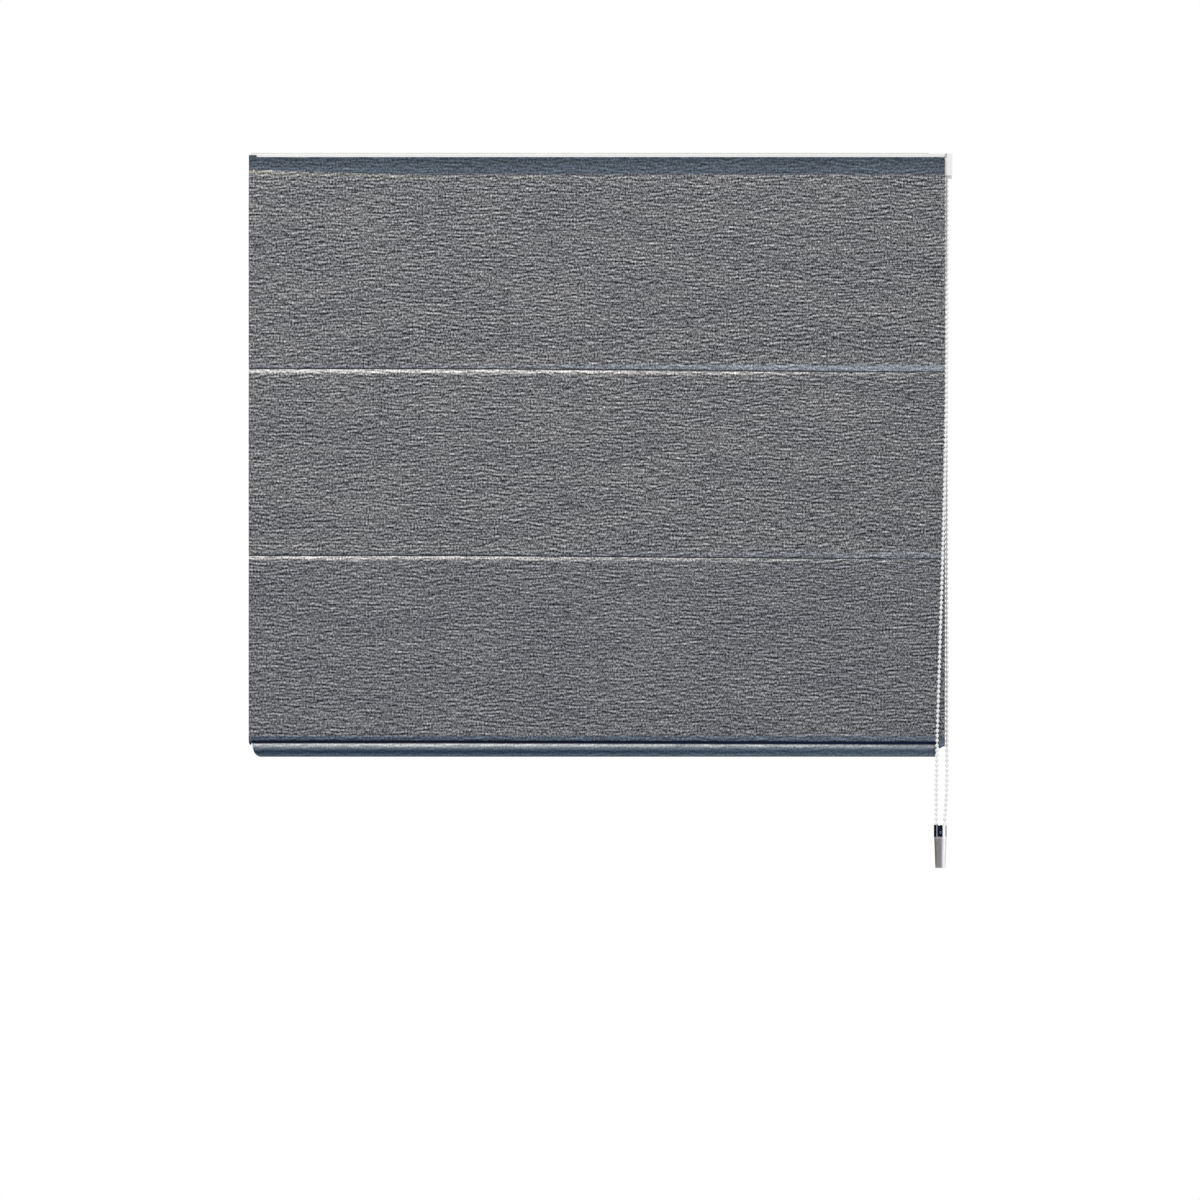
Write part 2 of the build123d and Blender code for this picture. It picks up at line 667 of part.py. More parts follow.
body_foot = cap_foot - weight_body_length
collar_foot = cap_foot - weight_collar
spigot_inner = cap_inner - running_fit - weight_cap_wall - running_fit
recess_radius = bead_radius + weight_spigot
recess_depth = pulley_pitch + bead_radius - pulley_rise + weight_cap_wall
with BuildPart() as weight_body:
    with BuildSketch(Plane.XZ.offset(-weight_y)):
        with BuildLine():
            outline = [(0, cap_foot - recess_depth), (recess_radius, cap_foot - recess_depth),
                       (recess_radius, cap_foot), (spigot_inner, cap_foot),
                       (spigot_inner, cap_foot + weight_spigot),
                       (cap_inner - running_fit, cap_foot + weight_spigot),
                       (cap_inner - running_fit, cap_foot), (weight_radius, cap_foot),
                       (weight_radius, collar_foot + weight_chamfer),
                       (cap_inner + weight_chamfer / 2, collar_foot),
                       (weight_foot_radius, body_foot + weight_cap_wall),
                       (weight_foot_radius - weight_cap_wall, body_foot), (0, body_foot)]
            Polyline(*[(weight_middle_x + x, z) for x, z in outline], close=True)
        make_face()
    revolve(axis=Axis((weight_middle_x, weight_y, 0), (0, 0, 1)))
write(weight_body.part, "weight_body")

pin_half = sqrt(weight_radius**2 - pin_radius**2) - running_fit
with BuildPart() as weight_pin:
    with BuildSketch(Plane.XZ.offset(-weight_y)):
        with Locations((weight_middle_x, pulley_level)):
            Circle(pin_radius)
    extrude(amount=pin_half, both=True)
write(weight_pin.part, "weight_pin")

pulley_plane = Plane(origin=(weight_middle_x, weight_y, pulley_level), x_dir=(0, 0, -1),
                     z_dir=(0, 1, 0))
pulley_floor = pulley_pitch * cos(pi / pulley_beads) - link_radius - pocket_clearance
pulley_blank = pocketed_wheel(pulley_width / 2, pulley_pitch + pulley_rim, pulley_pitch,
                              pulley_beads, pulley_floor)
with BuildPart() as pulley_shape:
    add(pulley_blank)
    Cylinder(pin_radius + running_fit, pulley_width, mode=Mode.SUBTRACT)
weight_pulley = pulley_plane.location * pulley_shape.part
write(weight_pulley, "weight_pulley")

# Bead chain. Its two strands are straight runs between points chosen by hand, with six-sided
# beads on a six-sided thread, and it goes over the wheel and under the pulley bead by bead
wheel_step = 2 * pi / wheel_beads
pulley_step = 2 * pi / pulley_beads


def strand_start(pitch, step, beads_each_side):
    """Sideways and upward distance, from a wheel's axle, of the link's middle that leaves it."""
    last = beads_each_side * step
    aside = (pitch * sin(last) + pitch) / 2
    next_bead = pitch * cos(last) - sqrt(bead_pitch**2 - (pitch - pitch * sin(last))**2)
    return aside, (pitch * cos(last) + next_bead) / 2


wheel_aside, wheel_up = strand_start(wheel_pitch, wheel_step, 2)
pulley_aside, pulley_down = strand_start(pulley_pitch, pulley_step, 1)
front_strand = [
    (chain_x, drive_y - wheel_aside, drive_level + wheel_up),
    (chain_x, -34.4, -45.0),
    (428.0, -39.2, -98.0),
    (427.7, -45.6, -152.0),
    (427.4, -50.6, -205.0),
    (426.6, -53.0, -262.0),
    (425.4, -53.5, -330.0),
    (424.0, -53.4, -400.0),
    (422.2, -53.2, -470.0),
    (419.9, -53.2, -545.0),
    (417.6, -53.3, -620.0),
    (415.6, -53.4, -686.0),
    (414.6, -52.6, -728.0),
    (414.3, -50.2, -756.0),
    (414.3, -47.4, -780.0),
    (weight_middle_x - pulley_pitch, weight_y, -802.0),
    (weight_middle_x - pulley_aside, weight_y, pulley_level - pulley_down),
]
rear_strand = [
    (chain_x, drive_y + wheel_aside, drive_level + wheel_up),
    (chain_x, -15.2, -60.0),
    (428.3, -19.0, -160.0),
    (428.2, -23.2, -270.0),
    (428.2, -27.7, -385.0),
    (428.1, -32.0, -500.0),
    (428.1, -36.0, -610.0),
    (428.0, -39.8, -700.0),
    (427.7, -42.4, -744.0),
    (426.9, -44.7, -776.0),
    (weight_middle_x + pulley_pitch, weight_y, -802.0),
    (weight_middle_x + pulley_aside, weight_y, pulley_level - pulley_down),
]


def bead_run(start, end):
    """One straight run of beads, from the middle of a link to the middle of another."""
    reach = Vector(*end) - Vector(*start)
    count = max(1, round(reach.length / bead_pitch))
    pitch = reach.length / count
    with BuildPart() as run:
        heights = [(0, link_radius)]
        for number in range(count):
            middle = (number + 0.5) * pitch
            heights += [(middle - bead_half, link_radius), (middle, bead_radius),
                        (middle + bead_half, link_radius)]
        heights.append((reach.length, link_radius))
        for height, radius in heights:
            with BuildSketch(Plane.XY.offset(height)):
                RegularPolygon(radius, 6)
        loft(ruled=True)
    return Plane(origin=start, z_dir=reach).location * run.part, count


def bead_wrap(plane, pitch, step, each_side, leaving):
    """The beads on a wheel, joined by links, in the wheel's own plane: X is its middle bead."""
    with BuildPart() as wrap:
        angles = [number * step for number in range(-each_side, each_side + 1)]
        centres = [Vector(pitch * cos(a), pitch * sin(a), 0) for a in angles]
        for angle, centre in zip(angles, centres):
            along = Vector(-sin(angle), cos(angle), 0)
            for height, radius in ((-bead_half, link_radius), (0, bead_radius),
                                   (bead_half, link_radius)):
                with BuildSketch(Plane(origin=centre + along * height, z_dir=along)):
                    RegularPolygon(radius, 6)
            loft(ruled=True)
        ends = [Vector(leaving[1], -leaving[0], 0)] + centres + [Vector(leaving[1], leaving[0], 0)]
        for here, there in zip(ends, ends[1:]):
            with BuildSketch(Plane(origin=here, z_dir=there - here)):
                RegularPolygon(link_radius, 6)
            extrude(amount=(there - here).length)
    return plane.location * wrap.part


pieces = [bead_wrap(drive_plane, wheel_pitch, wheel_step, 2, (wheel_aside, wheel_up)),
          bead_wrap(pulley_plane, pulley_pitch, pulley_step, 1, (pulley_aside, pulley_down))]
bead_count = 8
for strand in (front_strand, rear_strand):
    for start, end in zip(strand, strand[1:]):
        run, count = bead_run(start, end)
        pieces.append(run)
        bead_count += count
bead_chain = Compound(children=pieces)
write(bead_chain, "bead_chain")


def turns_of(route):
    """The angle, in degrees, by which a route turns at each of its inner points."""
    legs = [Vector(*b) - Vector(*a) for a, b in zip(route, route[1:])]
    return [round(a.get_angle(b), 1) for a, b in zip(legs, legs[1:])]


print("beads", bead_count)
print("chain bend radii", round(wheel_pitch, 2), round(pulley_pitch, 2))
print("front strand turns", turns_of(front_strand))
print("rear strand turns", turns_of(rear_strand))
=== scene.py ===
# %% [markdown]
# # A roman blind, let down
#
# The part is a white headrail with one width of dark grey woven cloth, two battens behind it,
# a weighted bottom bar and a loop of bead chain. The CAD model already has every piece at its
# real size, so this lesson only dresses it. The frame is loaded first and never changes: every
# cloth, cord and finish below is placed by it, in metres.

# %% Load the frame
import json
import math

import bmesh
import bpy
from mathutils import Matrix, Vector, noise


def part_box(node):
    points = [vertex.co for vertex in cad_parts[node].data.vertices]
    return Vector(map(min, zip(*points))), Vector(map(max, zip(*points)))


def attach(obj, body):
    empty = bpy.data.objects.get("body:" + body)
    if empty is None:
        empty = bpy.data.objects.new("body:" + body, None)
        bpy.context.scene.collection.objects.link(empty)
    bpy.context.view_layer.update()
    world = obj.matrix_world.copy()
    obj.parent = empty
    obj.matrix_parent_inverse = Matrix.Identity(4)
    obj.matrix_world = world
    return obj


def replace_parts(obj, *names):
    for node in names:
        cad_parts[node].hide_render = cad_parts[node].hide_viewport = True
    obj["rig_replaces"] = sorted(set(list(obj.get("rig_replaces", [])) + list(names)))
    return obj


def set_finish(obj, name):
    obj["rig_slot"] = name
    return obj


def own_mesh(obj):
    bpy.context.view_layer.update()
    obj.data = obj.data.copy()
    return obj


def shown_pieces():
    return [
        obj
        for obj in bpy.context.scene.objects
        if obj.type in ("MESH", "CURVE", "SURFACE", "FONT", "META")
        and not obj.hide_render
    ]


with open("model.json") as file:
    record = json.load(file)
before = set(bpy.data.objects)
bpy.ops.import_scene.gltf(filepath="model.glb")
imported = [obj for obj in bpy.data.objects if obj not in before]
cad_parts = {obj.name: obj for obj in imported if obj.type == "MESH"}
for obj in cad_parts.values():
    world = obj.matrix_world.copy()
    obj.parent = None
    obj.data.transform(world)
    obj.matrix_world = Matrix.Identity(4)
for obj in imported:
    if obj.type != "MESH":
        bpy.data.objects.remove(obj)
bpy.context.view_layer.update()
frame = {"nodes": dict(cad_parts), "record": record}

# %% [markdown]
# ## The camera
#
# A catalogue picture of a blind is taken straight on with a long lens, so that its edges stay
# parallel. The picture is 1200 pixels square and one pixel is 1.2213 mm on the cloth, which the
# 6 mm pitch of the bead chain gives. The lens follows from that and from the distance, so
# nothing has to be fitted by eye.

# %% Camera
MM = 0.001
pixel_size = 1.2213
picture_size = 1200 * pixel_size * MM
picture_middle = (3.9 * MM, -532.5 * MM)
view_distance = 7.0
face_depth = -45 * MM

camera_lens = bpy.data.cameras.new("photo_camera")
camera_lens.sensor_width = 36
camera_lens.lens = camera_lens.sensor_width * view_distance / picture_size
camera = bpy.data.objects.new("photo_camera", camera_lens)
camera.location = (picture_middle[0], face_depth - view_distance, picture_middle[1])
camera.rotation_euler = (math.pi / 2, 0, 0)
scene = bpy.context.scene
scene.collection.objects.link(camera)
scene.camera = camera
scene.view_settings.view_transform = "Standard"
print("lens", round(camera_lens.lens, 1), "mm")

# %% [markdown]
# ## The bead chain's route
#
# The chain is one endless loop. It goes over the wheel in the control unit, down in front of the
# cloth, under the pulley in the chain weight, and up again behind. A cord keeps its length, so
# its line is drawn before anything else: the points below are its control points, and a NURBS
# spline of order 3 runs smoothly between them. The wheel and the pulley are each four corners
# of an octagon round them, which such a spline follows as a circle.

# %% Route of the chain, in millimetres
wheel_top = (428.3, -24.0, 7.2)
front_strand = [
    (428.3, -28.0, 7.2), (428.3, -33.7, 1.5), (428.3, -33.8, -9.0), (428.3, -34.4, -45.0),
    (428.0, -39.2, -98.0), (427.7, -45.6, -152.0), (427.4, -50.6, -205.0),
    (426.6, -53.0, -262.0), (425.4, -53.5, -330.0), (424.0, -53.4, -400.0),
    (422.2, -53.2, -470.0), (419.9, -53.2, -545.0), (417.6, -53.3, -620.0),
    (415.6, -53.4, -686.0), (414.6, -52.6, -728.0), (414.3, -50.2, -756.0),
    (414.3, -47.4, -780.0), (414.5, -46.0, -802.0), (414.5, -46.0, -813.0),
]
pulley_turn = [(414.5, -46.0, -818.1), (417.5, -46.0, -821.1), (421.7, -46.0, -821.1),
               (424.7, -46.0, -818.1)]
rear_strand = [
    (424.7, -46.0, -813.0), (424.7, -46.0, -802.0), (426.9, -44.7, -776.0),
    (427.7, -42.4, -744.0), (428.0, -39.8, -700.0), (428.1, -36.0, -610.0),
    (428.1, -32.0, -500.0), (428.2, -27.7, -385.0), (428.2, -23.2, -270.0),
    (428.3, -19.0, -160.0), (428.3, -15.2, -60.0), (428.3, -14.3, -9.0),
    (428.3, -14.3, 1.5), (428.3, -20.0, 7.2),
]
chain_route = [wheel_top] + front_strand + pulley_turn + rear_strand + [wheel_top]

# %% The thread inside the chain
thread_radius = 0.6 * MM


def cord_line(name, route):
    """A smooth open curve through space, led by control points in millimetres."""
    curve = bpy.data.curves.new(name, "CURVE")
    curve.dimensions = "3D"
    spline = curve.splines.new("NURBS")
    spline.points.add(len(route) - 1)
    for point, place in zip(spline.points, route):
        point.co = (*(Vector(place) * MM), 1)
        point.radius = thread_radius
    spline.order_u = 3
    spline.use_endpoint_u = True
    spline.resolution_u = 24
    return bpy.data.objects.new(name, curve)


chain_thread = cord_line("chain_thread", chain_route)
scene.collection.objects.link(chain_thread)
line_mesh = bpy.data.meshes.new_from_object(chain_thread)
chain_line = [vertex.co.copy() for vertex in line_mesh.vertices]
bpy.data.meshes.remove(line_mesh)
chain_length = sum((b - a).length for a, b in zip(chain_line, chain_line[1:]))
chain_thread.data.bevel_depth = 1.0
chain_thread.data.bevel_resolution = 3
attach(chain_thread, "rail")
print("chain", round(chain_length, 4), "m long")

# %% [markdown]
# ## Mesh helpers
#
# Most pieces here are long and have one outline, like the sleeve, a cord or a tape. A piece of
# that kind is a loft: rings of points, one ring at each place along it, joined by quads. The
# helpers below make round rings, join rings, close the ends of a cord, of a flat cloth or of a
# tube with walls, and put the finished mesh on the body that carries it.

# %% Round rings
SIDEWAYS, BACKWARD = Vector((1, 0, 0)), Vector((0, 1, 0))


def round_ring(centre, radius, sides, across=SIDEWAYS, upward=BACKWARD):
    """Points of a circle round a centre, level unless two other directions are given."""
    turns = [2 * math.pi * side / sides for side in range(sides)]
    return [centre + (across * math.cos(turn) + upward * math.sin(turn)) * radius
            for turn in turns]


# %% Faces between rings
def shifted(faces, first):
    """The same faces on points that begin at another number."""
    return [tuple(first + corner for corner in face) for face in faces]


def strip_faces(rings, around):
    """Quads between closed rings of points, where each ring has the same number of them."""
    band = [(here, (here + 1) % around, around + (here + 1) % around, around + here)
            for here in range(around)]
    return [face for ring in range(rings - 1) for face in shifted(band, ring * around)]


def capped_faces(rings, around):
    """Quads between rings, and one face over each end, for a cord."""
    last = (rings - 1) * around
    return strip_faces(rings, around) + [tuple(range(around)), tuple(range(last, last + around))]


def slab_faces(rings, around):
    """Quads between rings, and over both ends from front to back, for a cloth with a thickness."""
    ends = [(here, here + 1, around - 2 - here, around - 1 - here)
            for here in range(around // 2 - 1)]
    return strip_faces(rings, around) + ends + shifted([face[::-1] for face in ends],
                                                       (rings - 1) * around)


def tube_faces(rings, around):
    """Quads of a tube with walls, whose outer rings come first: outside, inside and both ends."""
    faces = strip_faces(rings, around)
    inside = rings * around
    faces += shifted(faces, inside)
    for ring in (0, (rings - 1) * around):
        faces += shifted([(here, (here + 1) % around, inside + (here + 1) % around, inside + here)
                          for here in range(around)], ring)
    return faces


# %% Meshes and pieces
def new_mesh(name, points, faces):
    """A smooth-shaded mesh from points in metres, with every face turned outward."""
    mesh = bpy.data.meshes.new(name)
    mesh.from_pydata([tuple(point) for point in points], [], faces)
    shape = bmesh.new()
    shape.from_mesh(mesh)
    bmesh.ops.recalc_face_normals(shape, faces=shape.faces)
    shape.to_mesh(mesh)
    shape.free()
    mesh.shade_smooth()
    return mesh


def add_piece(mesh, body, slot):
    """Places a finished mesh on the body that carries it, with the finish that it takes."""
    piece = bpy.data.objects.new(mesh.name, mesh)
    scene.collection.objects.link(piece)
    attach(piece, body)
    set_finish(piece, slot)
    return piece


# %% [markdown]
# ## Beads
#
# The beads are moulded on the thread, a little longer than they are wide, every 6 mm. One bead
# is a turned outline with a short collar at each end, where the plastic runs out along the
# thread. It is copied along the smooth line at even steps, each one turned to the line.

# %% Beads along the thread
bead_half = [(-2.4, 0.62), (-2.2, 0.8), (-1.95, 1.18), (-1.5, 1.66), (-0.8, 2.06)]
bead_outline = bead_half + [(0, 2.18)] + [(-along, radius) for along, radius in bead_half[::-1]]
bead_sides = 14
bead_pitch = 6 * MM
bead_count = round(chain_length / bead_pitch)
bead_step = chain_length / bead_count


def places_along(line, step):
    """Points and directions at even steps along a line of points, from half a step on."""
    places = []
    wanted, walked = step / 2, 0.0
    for here, there in zip(line, line[1:]):
        run = (there - here).length
        while wanted <= walked + run:
            places.append((here.lerp(there, (wanted - walked) / run), (there - here) / run))
            wanted += step
        walked += run
    return places


def beads_on(line):
    """One mesh with every bead of the chain, each a turned shape along the line."""
    points, faces = [], []
    pattern = strip_faces(len(bead_outline), bead_sides)
    for centre, direction in places_along(line, bead_step):
        faces += shifted(pattern, len(points))
        across = direction.orthogonal().normalized()
        upward = direction.cross(across)
        for along, radius in bead_outline:
            points += round_ring(centre + direction * (along * MM), radius * MM, bead_sides,
                                 across, upward)
    return new_mesh("chain_beads", points, faces)


# %% The whole chain
chain_beads = add_piece(beads_on(chain_line), "rail", "beads")
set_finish(chain_thread, "beads")
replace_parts(chain_thread, "bead_chain")
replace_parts(chain_beads, "bead_chain")
print(bead_count, "beads,", round(bead_step / MM, 3), "mm apart")

# %% [markdown]
# ## Shader helpers
#
# A finish is a small network of nodes. Written out in full, each node takes four or five lines
# that hide what the network does, so short helpers stand for them. The first ones add a node and
# do one step of arithmetic. The next ones are steps that come back in many finishes, such as a
# mask, a mixture or a noise. The last two make an effect, which is a node group, and place it.

# %% Nodes and arithmetic
def feed(tree, socket, value):
    """Links an output into a socket, or sets the socket to a plain value."""
    if isinstance(value, bpy.types.NodeSocket):
        tree.links.new(value, socket)
    else:
        socket.default_value = value


def add_node(tree, kind, settings=(), **inputs):
    """Adds a shader node, sets its options, and feeds its inputs (underscores for spaces)."""
    node = tree.nodes.new("ShaderNode" + kind)
    for option, value in dict(settings).items():
        setattr(node, option, value)
    for label, value in inputs.items():
        feed(tree, node.inputs[label.replace("_", " ")], value)
    return node


def calc(tree, operation, *values, kind="Math", output=0):
    """The result of one arithmetic step."""
    node = add_node(tree, kind, {"operation": operation})
    for socket, value in zip(node.inputs, values):
        feed(tree, socket, value)
    return node.outputs[output]


def times(tree, first, second):
    """One value multiplied by another."""
    return calc(tree, "MULTIPLY", first, second)


def inverse(tree, value):
    """1 less the value, which turns a mask round."""
    return calc(tree, "SUBTRACT", 1.0, value)


def scaled(tree, vector, factors):
    """A place or a colour multiplied along each axis. It stretches a pattern that reads it."""
    return calc(tree, "MULTIPLY", vector, factors, kind="VectorMath")


def axes_of(tree, vector):
    """A place or a direction taken apart into X, Y and Z."""
    return add_node(tree, "SeparateXYZ", Vector=vector).outputs


# %% Masks, mixtures and noise
def mask(tree, value, low, high):
    """0 up to the low value, 1 from the high value, and a smooth rise between them."""
    return add_node(tree, "MapRange", {"interpolation_type": "SMOOTHSTEP"}, Value=value,
                    From_Min=low, From_Max=high).outputs[0]


def mix(tree, factor, first, second):
    """One colour turning into another as the factor goes from 0 to 1."""
    node = add_node(tree, "Mix", {"data_type": "RGBA"})
    for socket, value in ((0, factor), (6, first), (7, second)):
        feed(tree, node.inputs[socket], value)
    return node.outputs[2]


def between(tree, value, low, high):
    """A value from 0 to 1 brought between two others."""
    return calc(tree, "MULTIPLY_ADD", value, high - low, low)


def total(tree, *shares):
    """The sum of several values, each with its own weight."""
    result = 0.0
    for value, weight in shares:
        result = calc(tree, "MULTIPLY_ADD", value, weight, result)
    return result


def speckle(tree, place, scale, detail=2.0):
    """Cloudy noise from 0 to 1, at so many clouds to a metre."""
    return add_node(tree, "TexNoise", Vector=place, Scale=scale, Detail=detail).outputs[0]


def swing(tree, place, detail):
    """Noise that swings round 0, one cloud to each unit of its place."""
    return between(tree, speckle(tree, place, 1, detail), -2.0, 2.0)


# %% Effects as node groups
FLOAT, VECTOR, COLOUR = "NodeSocketFloat", "NodeSocketVector", "NodeSocketColor"


def new_effect(name, inputs, outputs):
    """An empty shader node group with its sockets: its tree, and what goes in and comes out."""
    tree = bpy.data.node_groups.new(name, "ShaderNodeTree")
    for label, kind, value in inputs:
        socket = tree.interface.new_socket(label, in_out="INPUT", socket_type=kind)
        if value is not None:
            socket.default_value = value
    for label, kind in outputs:
        tree.interface.new_socket(label, in_out="OUTPUT", socket_type=kind)
    incoming = tree.nodes.new("NodeGroupInput").outputs
    outgoing = tree.nodes.new("NodeGroupOutput").inputs
    return tree, incoming, outgoing


def use_effect(tree, effect, **inputs):
    """Places an effect, called by its name, in a finish and returns its outputs."""
    group = bpy.data.node_groups[effect]
    return add_node(tree, "Group", {"node_tree": group}, **inputs).outputs


# %% [markdown]
# ## Effect: plain weave
#
# Up close, a plain weave is a chequerboard: at each crossing either the warp or the weft lies on
# top, and every thread bulges between its crossings. The product of two sine waves has exactly
# that sign and that bulge, so no picture of cloth is needed. The cloth, the tapes and the sleeve
# all use it, each with its own thread spacing.

# %% Weave effect
tree, given, result = new_effect(
    "plain_weave",
    [("Place", VECTOR, None), ("Warp Pitch", FLOAT, 1 * MM), ("Weft Pitch", FLOAT, 1 * MM)],
    [("Height", FLOAT), ("Warp On Top", FLOAT), ("Thread Tone", FLOAT)])
wobble = times(tree, speckle(tree, given["Place"], 60, 3), 1.5 * MM)
waves, tones = [], []
for axis, pitch in zip(axes_of(tree, given["Place"]), ("Warp Pitch", "Weft Pitch")):
    thread = calc(tree, "DIVIDE", calc(tree, "ADD", axis, wobble), given[pitch])
    waves.append(calc(tree, "SINE", times(tree, thread, math.pi)))
    tones.append(add_node(tree, "TexWhiteNoise", {"noise_dimensions": "1D"},
                          W=calc(tree, "FLOOR", thread)).outputs["Value"])
crossing = times(tree, *waves)
feed(tree, result["Height"], calc(tree, "SQRT", calc(tree, "ABSOLUTE", crossing)))
feed(tree, result["Warp On Top"], mask(tree, crossing, -0.25, 0.25))
feed(tree, result["Thread Tone"], total(tree, (tones[0], 0.5), (tones[1], 0.5)))
print("weave effect:", len(tree.nodes), "nodes")

# %% [markdown]
# ## Effect: heather
#
# The cloth looks heathered because its weft is spun unevenly: a thread is thick and pale for 10 to
# 20 mm, then thin and dark, and a thick stretch throws a small shadow on the row below. Noise
# that is stretched along the rows gives the slubs. The same noise read one row higher is the
# shadow of the slub above. The rows waver a little, and a slow drift gathers pale and dark spots.
# Every output swings round 0, about as far as 1 either way.

# %% Heather effect
tree, given, result = new_effect(
    "heather",
    [("Place", VECTOR, None), ("Row Height", FLOAT, 2 * MM), ("Slub Length", FLOAT, 8 * MM)],
    [("Slub", FLOAT), ("Shadow", FLOAT), ("Drift", FLOAT)])
axes = axes_of(tree, given["Place"])
waver = times(tree, speckle(tree, scaled(tree, given["Place"], (22, 12, 1)), 1, 1), 6 * MM)
along = calc(tree, "DIVIDE", axes[0], given["Slub Length"])
row = calc(tree, "DIVIDE", calc(tree, "ADD", axes[1], waver), given["Row Height"])
row_above = calc(tree, "ADD", row, 0.8)
for label, level in (("Slub", row), ("Shadow", row_above)):
    thread_place = add_node(tree, "CombineXYZ", X=along, Y=level).outputs[0]
    feed(tree, result[label], swing(tree, thread_place, 1))
feed(tree, result["Drift"], swing(tree, scaled(tree, given["Place"], (9, 34, 1)), 2))
print("heather effect:", len(tree.nodes), "nodes")

# %% [markdown]
# ## Effect: mottling
#
# No real surface is one flat colour. Two sizes of cloudy noise turn a base colour a little way
# towards a second one, as dust, handling and uneven coating do. Every finish that isn't cloth
# starts from this effect.

# %% Mottling effect
tree, given, result = new_effect(
    "mottling",
    [("Place", VECTOR, None), ("Colour", COLOUR, (1, 1, 1, 1)), ("Second", COLOUR, (0, 0, 0, 1)),
     ("Clouds", FLOAT, 30.0), ("Amount", FLOAT, 0.3)],
    [("Colour", COLOUR), ("Clouds", FLOAT)])
wide = speckle(tree, given["Place"], given["Clouds"], 3)
fine = speckle(tree, given["Place"], times(tree, given["Clouds"], 9), 4)
clouds = mask(tree, total(tree, (wide, 0.6), (fine, 0.4)), 0.32, 0.68)
feed(tree, result["Clouds"], clouds)
feed(tree, result["Colour"], mix(tree, times(tree, clouds, given["Amount"]), given["Colour"],
                                 given["Second"]))
print("mottling effect:", len(tree.nodes), "nodes")

# %% [markdown]
# ## Effect: drawn lines
#
# Extruded, drawn and turned metal carries fine lines along the way that it was worked. Noise that
# is squeezed hard along two axes and left long on the third looks like them. The stretch is an
# input, so one effect serves a rail drawn along X and a weight turned round Z.

# %% Drawn line effect
tree, given, result = new_effect(
    "drawn_lines",
    [("Place", VECTOR, None), ("Stretch", VECTOR, (5.0, 2000.0, 2000.0))],
    [("Lines", FLOAT)])
drawn_out = scaled(tree, given["Place"], given["Stretch"])
feed(tree, result["Lines"], mask(tree, speckle(tree, drawn_out, 1, 3), 0.3, 0.7))
print("drawn line effect:", len(tree.nodes), "nodes")

# %% [markdown]
# ## Effect: worn edges
#
# Paint and plating are thinnest on edges, and handling polishes them. The Bevel node gives the
# normal that a rounded edge would have; where it departs from the true normal, the surface is at
# an edge. The same node rounds the edge for the light, so crisp CAD edges catch a highlight.

# %% Worn edge effect
tree, given, result = new_effect(
    "worn_edges", [("Radius", FLOAT, 0.4 * MM), ("Place", VECTOR, None)],
    [("Edge", FLOAT), ("Normal", VECTOR)])
rounded = add_node(tree, "Bevel", {"samples": 4}, Radius=given["Radius"]).outputs[0]
plain = add_node(tree, "NewGeometry").outputs["Normal"]
agree = calc(tree, "DOT_PRODUCT", rounded, plain, kind="VectorMath", output="Value")
turning = mask(tree, inverse(tree, agree), 0.02, 0.2)
chips = mask(tree, speckle(tree, given["Place"], 700, 3), 0.42, 0.62)
feed(tree, result["Edge"], times(tree, turning, chips))
feed(tree, result["Normal"], rounded)
print("worn edge effect:", len(tree.nodes), "nodes")

# %% [markdown]
# ## Finishes
#
# Each finish is a Principled BSDF with one or two effects in front of it. What is the same all
# over, such as metalness or a coat, is set on the shader itself. What varies comes from the
# effects: colour, roughness, and a fine relief through a Bump node.

# %% Finish helpers
finishes = {}


def new_finish(slot, **settings):
    """A material with a Principled BSDF, kept under the name of the slot that it serves."""
    material = bpy.data.materials.new(slot)
    material.use_nodes = True
    shader = material.node_tree.nodes["Principled BSDF"]
    for label, value in settings.items():
        shader.inputs[label.replace("_", " ")].default_value = value
    finishes[slot] = material
    return material.node_tree, shader.inputs


def dress(tree, shader, colour, roughness, normal):
    """Feeds the three inputs of a shader that vary over the surface."""
    feed(tree, shader["Base Color"], colour)
    feed(tree, shader["Roughness"], roughness)
    feed(tree, shader["Normal"], normal)


def own_place(tree):
    """The point's place on its own object, in metres. It moves with the object."""
    return add_node(tree, "TexCoord").outputs["Object"]


def cut_place(tree):
    """The point's place on the flat cut cloth, in metres."""
    return add_node(tree, "UVMap", {"uv_map": "cut"}).outputs[0]


def relief(tree, height, distance, strength, normal=None):
    """A fine relief from a height between 0 and 1."""
    bump = add_node(tree, "Bump", Height=height, Distance=distance, Strength=strength)
    if normal is not None:
        feed(tree, bump.inputs["Normal"], normal)
    return bump.outputs[0]


def grey(level, warmth=0.0):
    """A grey as a linear colour, a little warmer or cooler."""
    return (level * (1 + warmth), level, level * (1 - warmth), 1)


# %% [markdown]
# ### Heathered cloth
#
# The face cloth, its header and the sleeve are cut from one roll, so they share one finish. It
# reads the UV map, which is the cut cloth in metres, so the threads run true round every fold.
# A second colour is stored on the mesh, with its strength, and it is painted light and shade:
# over the tapes and the bar the cloth is painted slate blue as shade, each fold gets a painted
# dark line, and its ledge a painted pale highlight. It changes the yarn's colour before the
# heather is laid over it, so the threads run on through it. A strength above 1 also calms the
# heather, because the cloth is stretched tight over the bar.

# %% Cloth finish
warp_pitch, weft_pitch = 1.22 * MM, 2.44 * MM
row_height, slub_length = 2.6 * MM, 15 * MM
cool_yarn, warm_yarn = (0.182, 0.186, 0.199, 1), (0.188, 0.189, 0.195, 1)
loose_contrast, tight_contrast = 0.405, 0.235
tone_power = 2.3

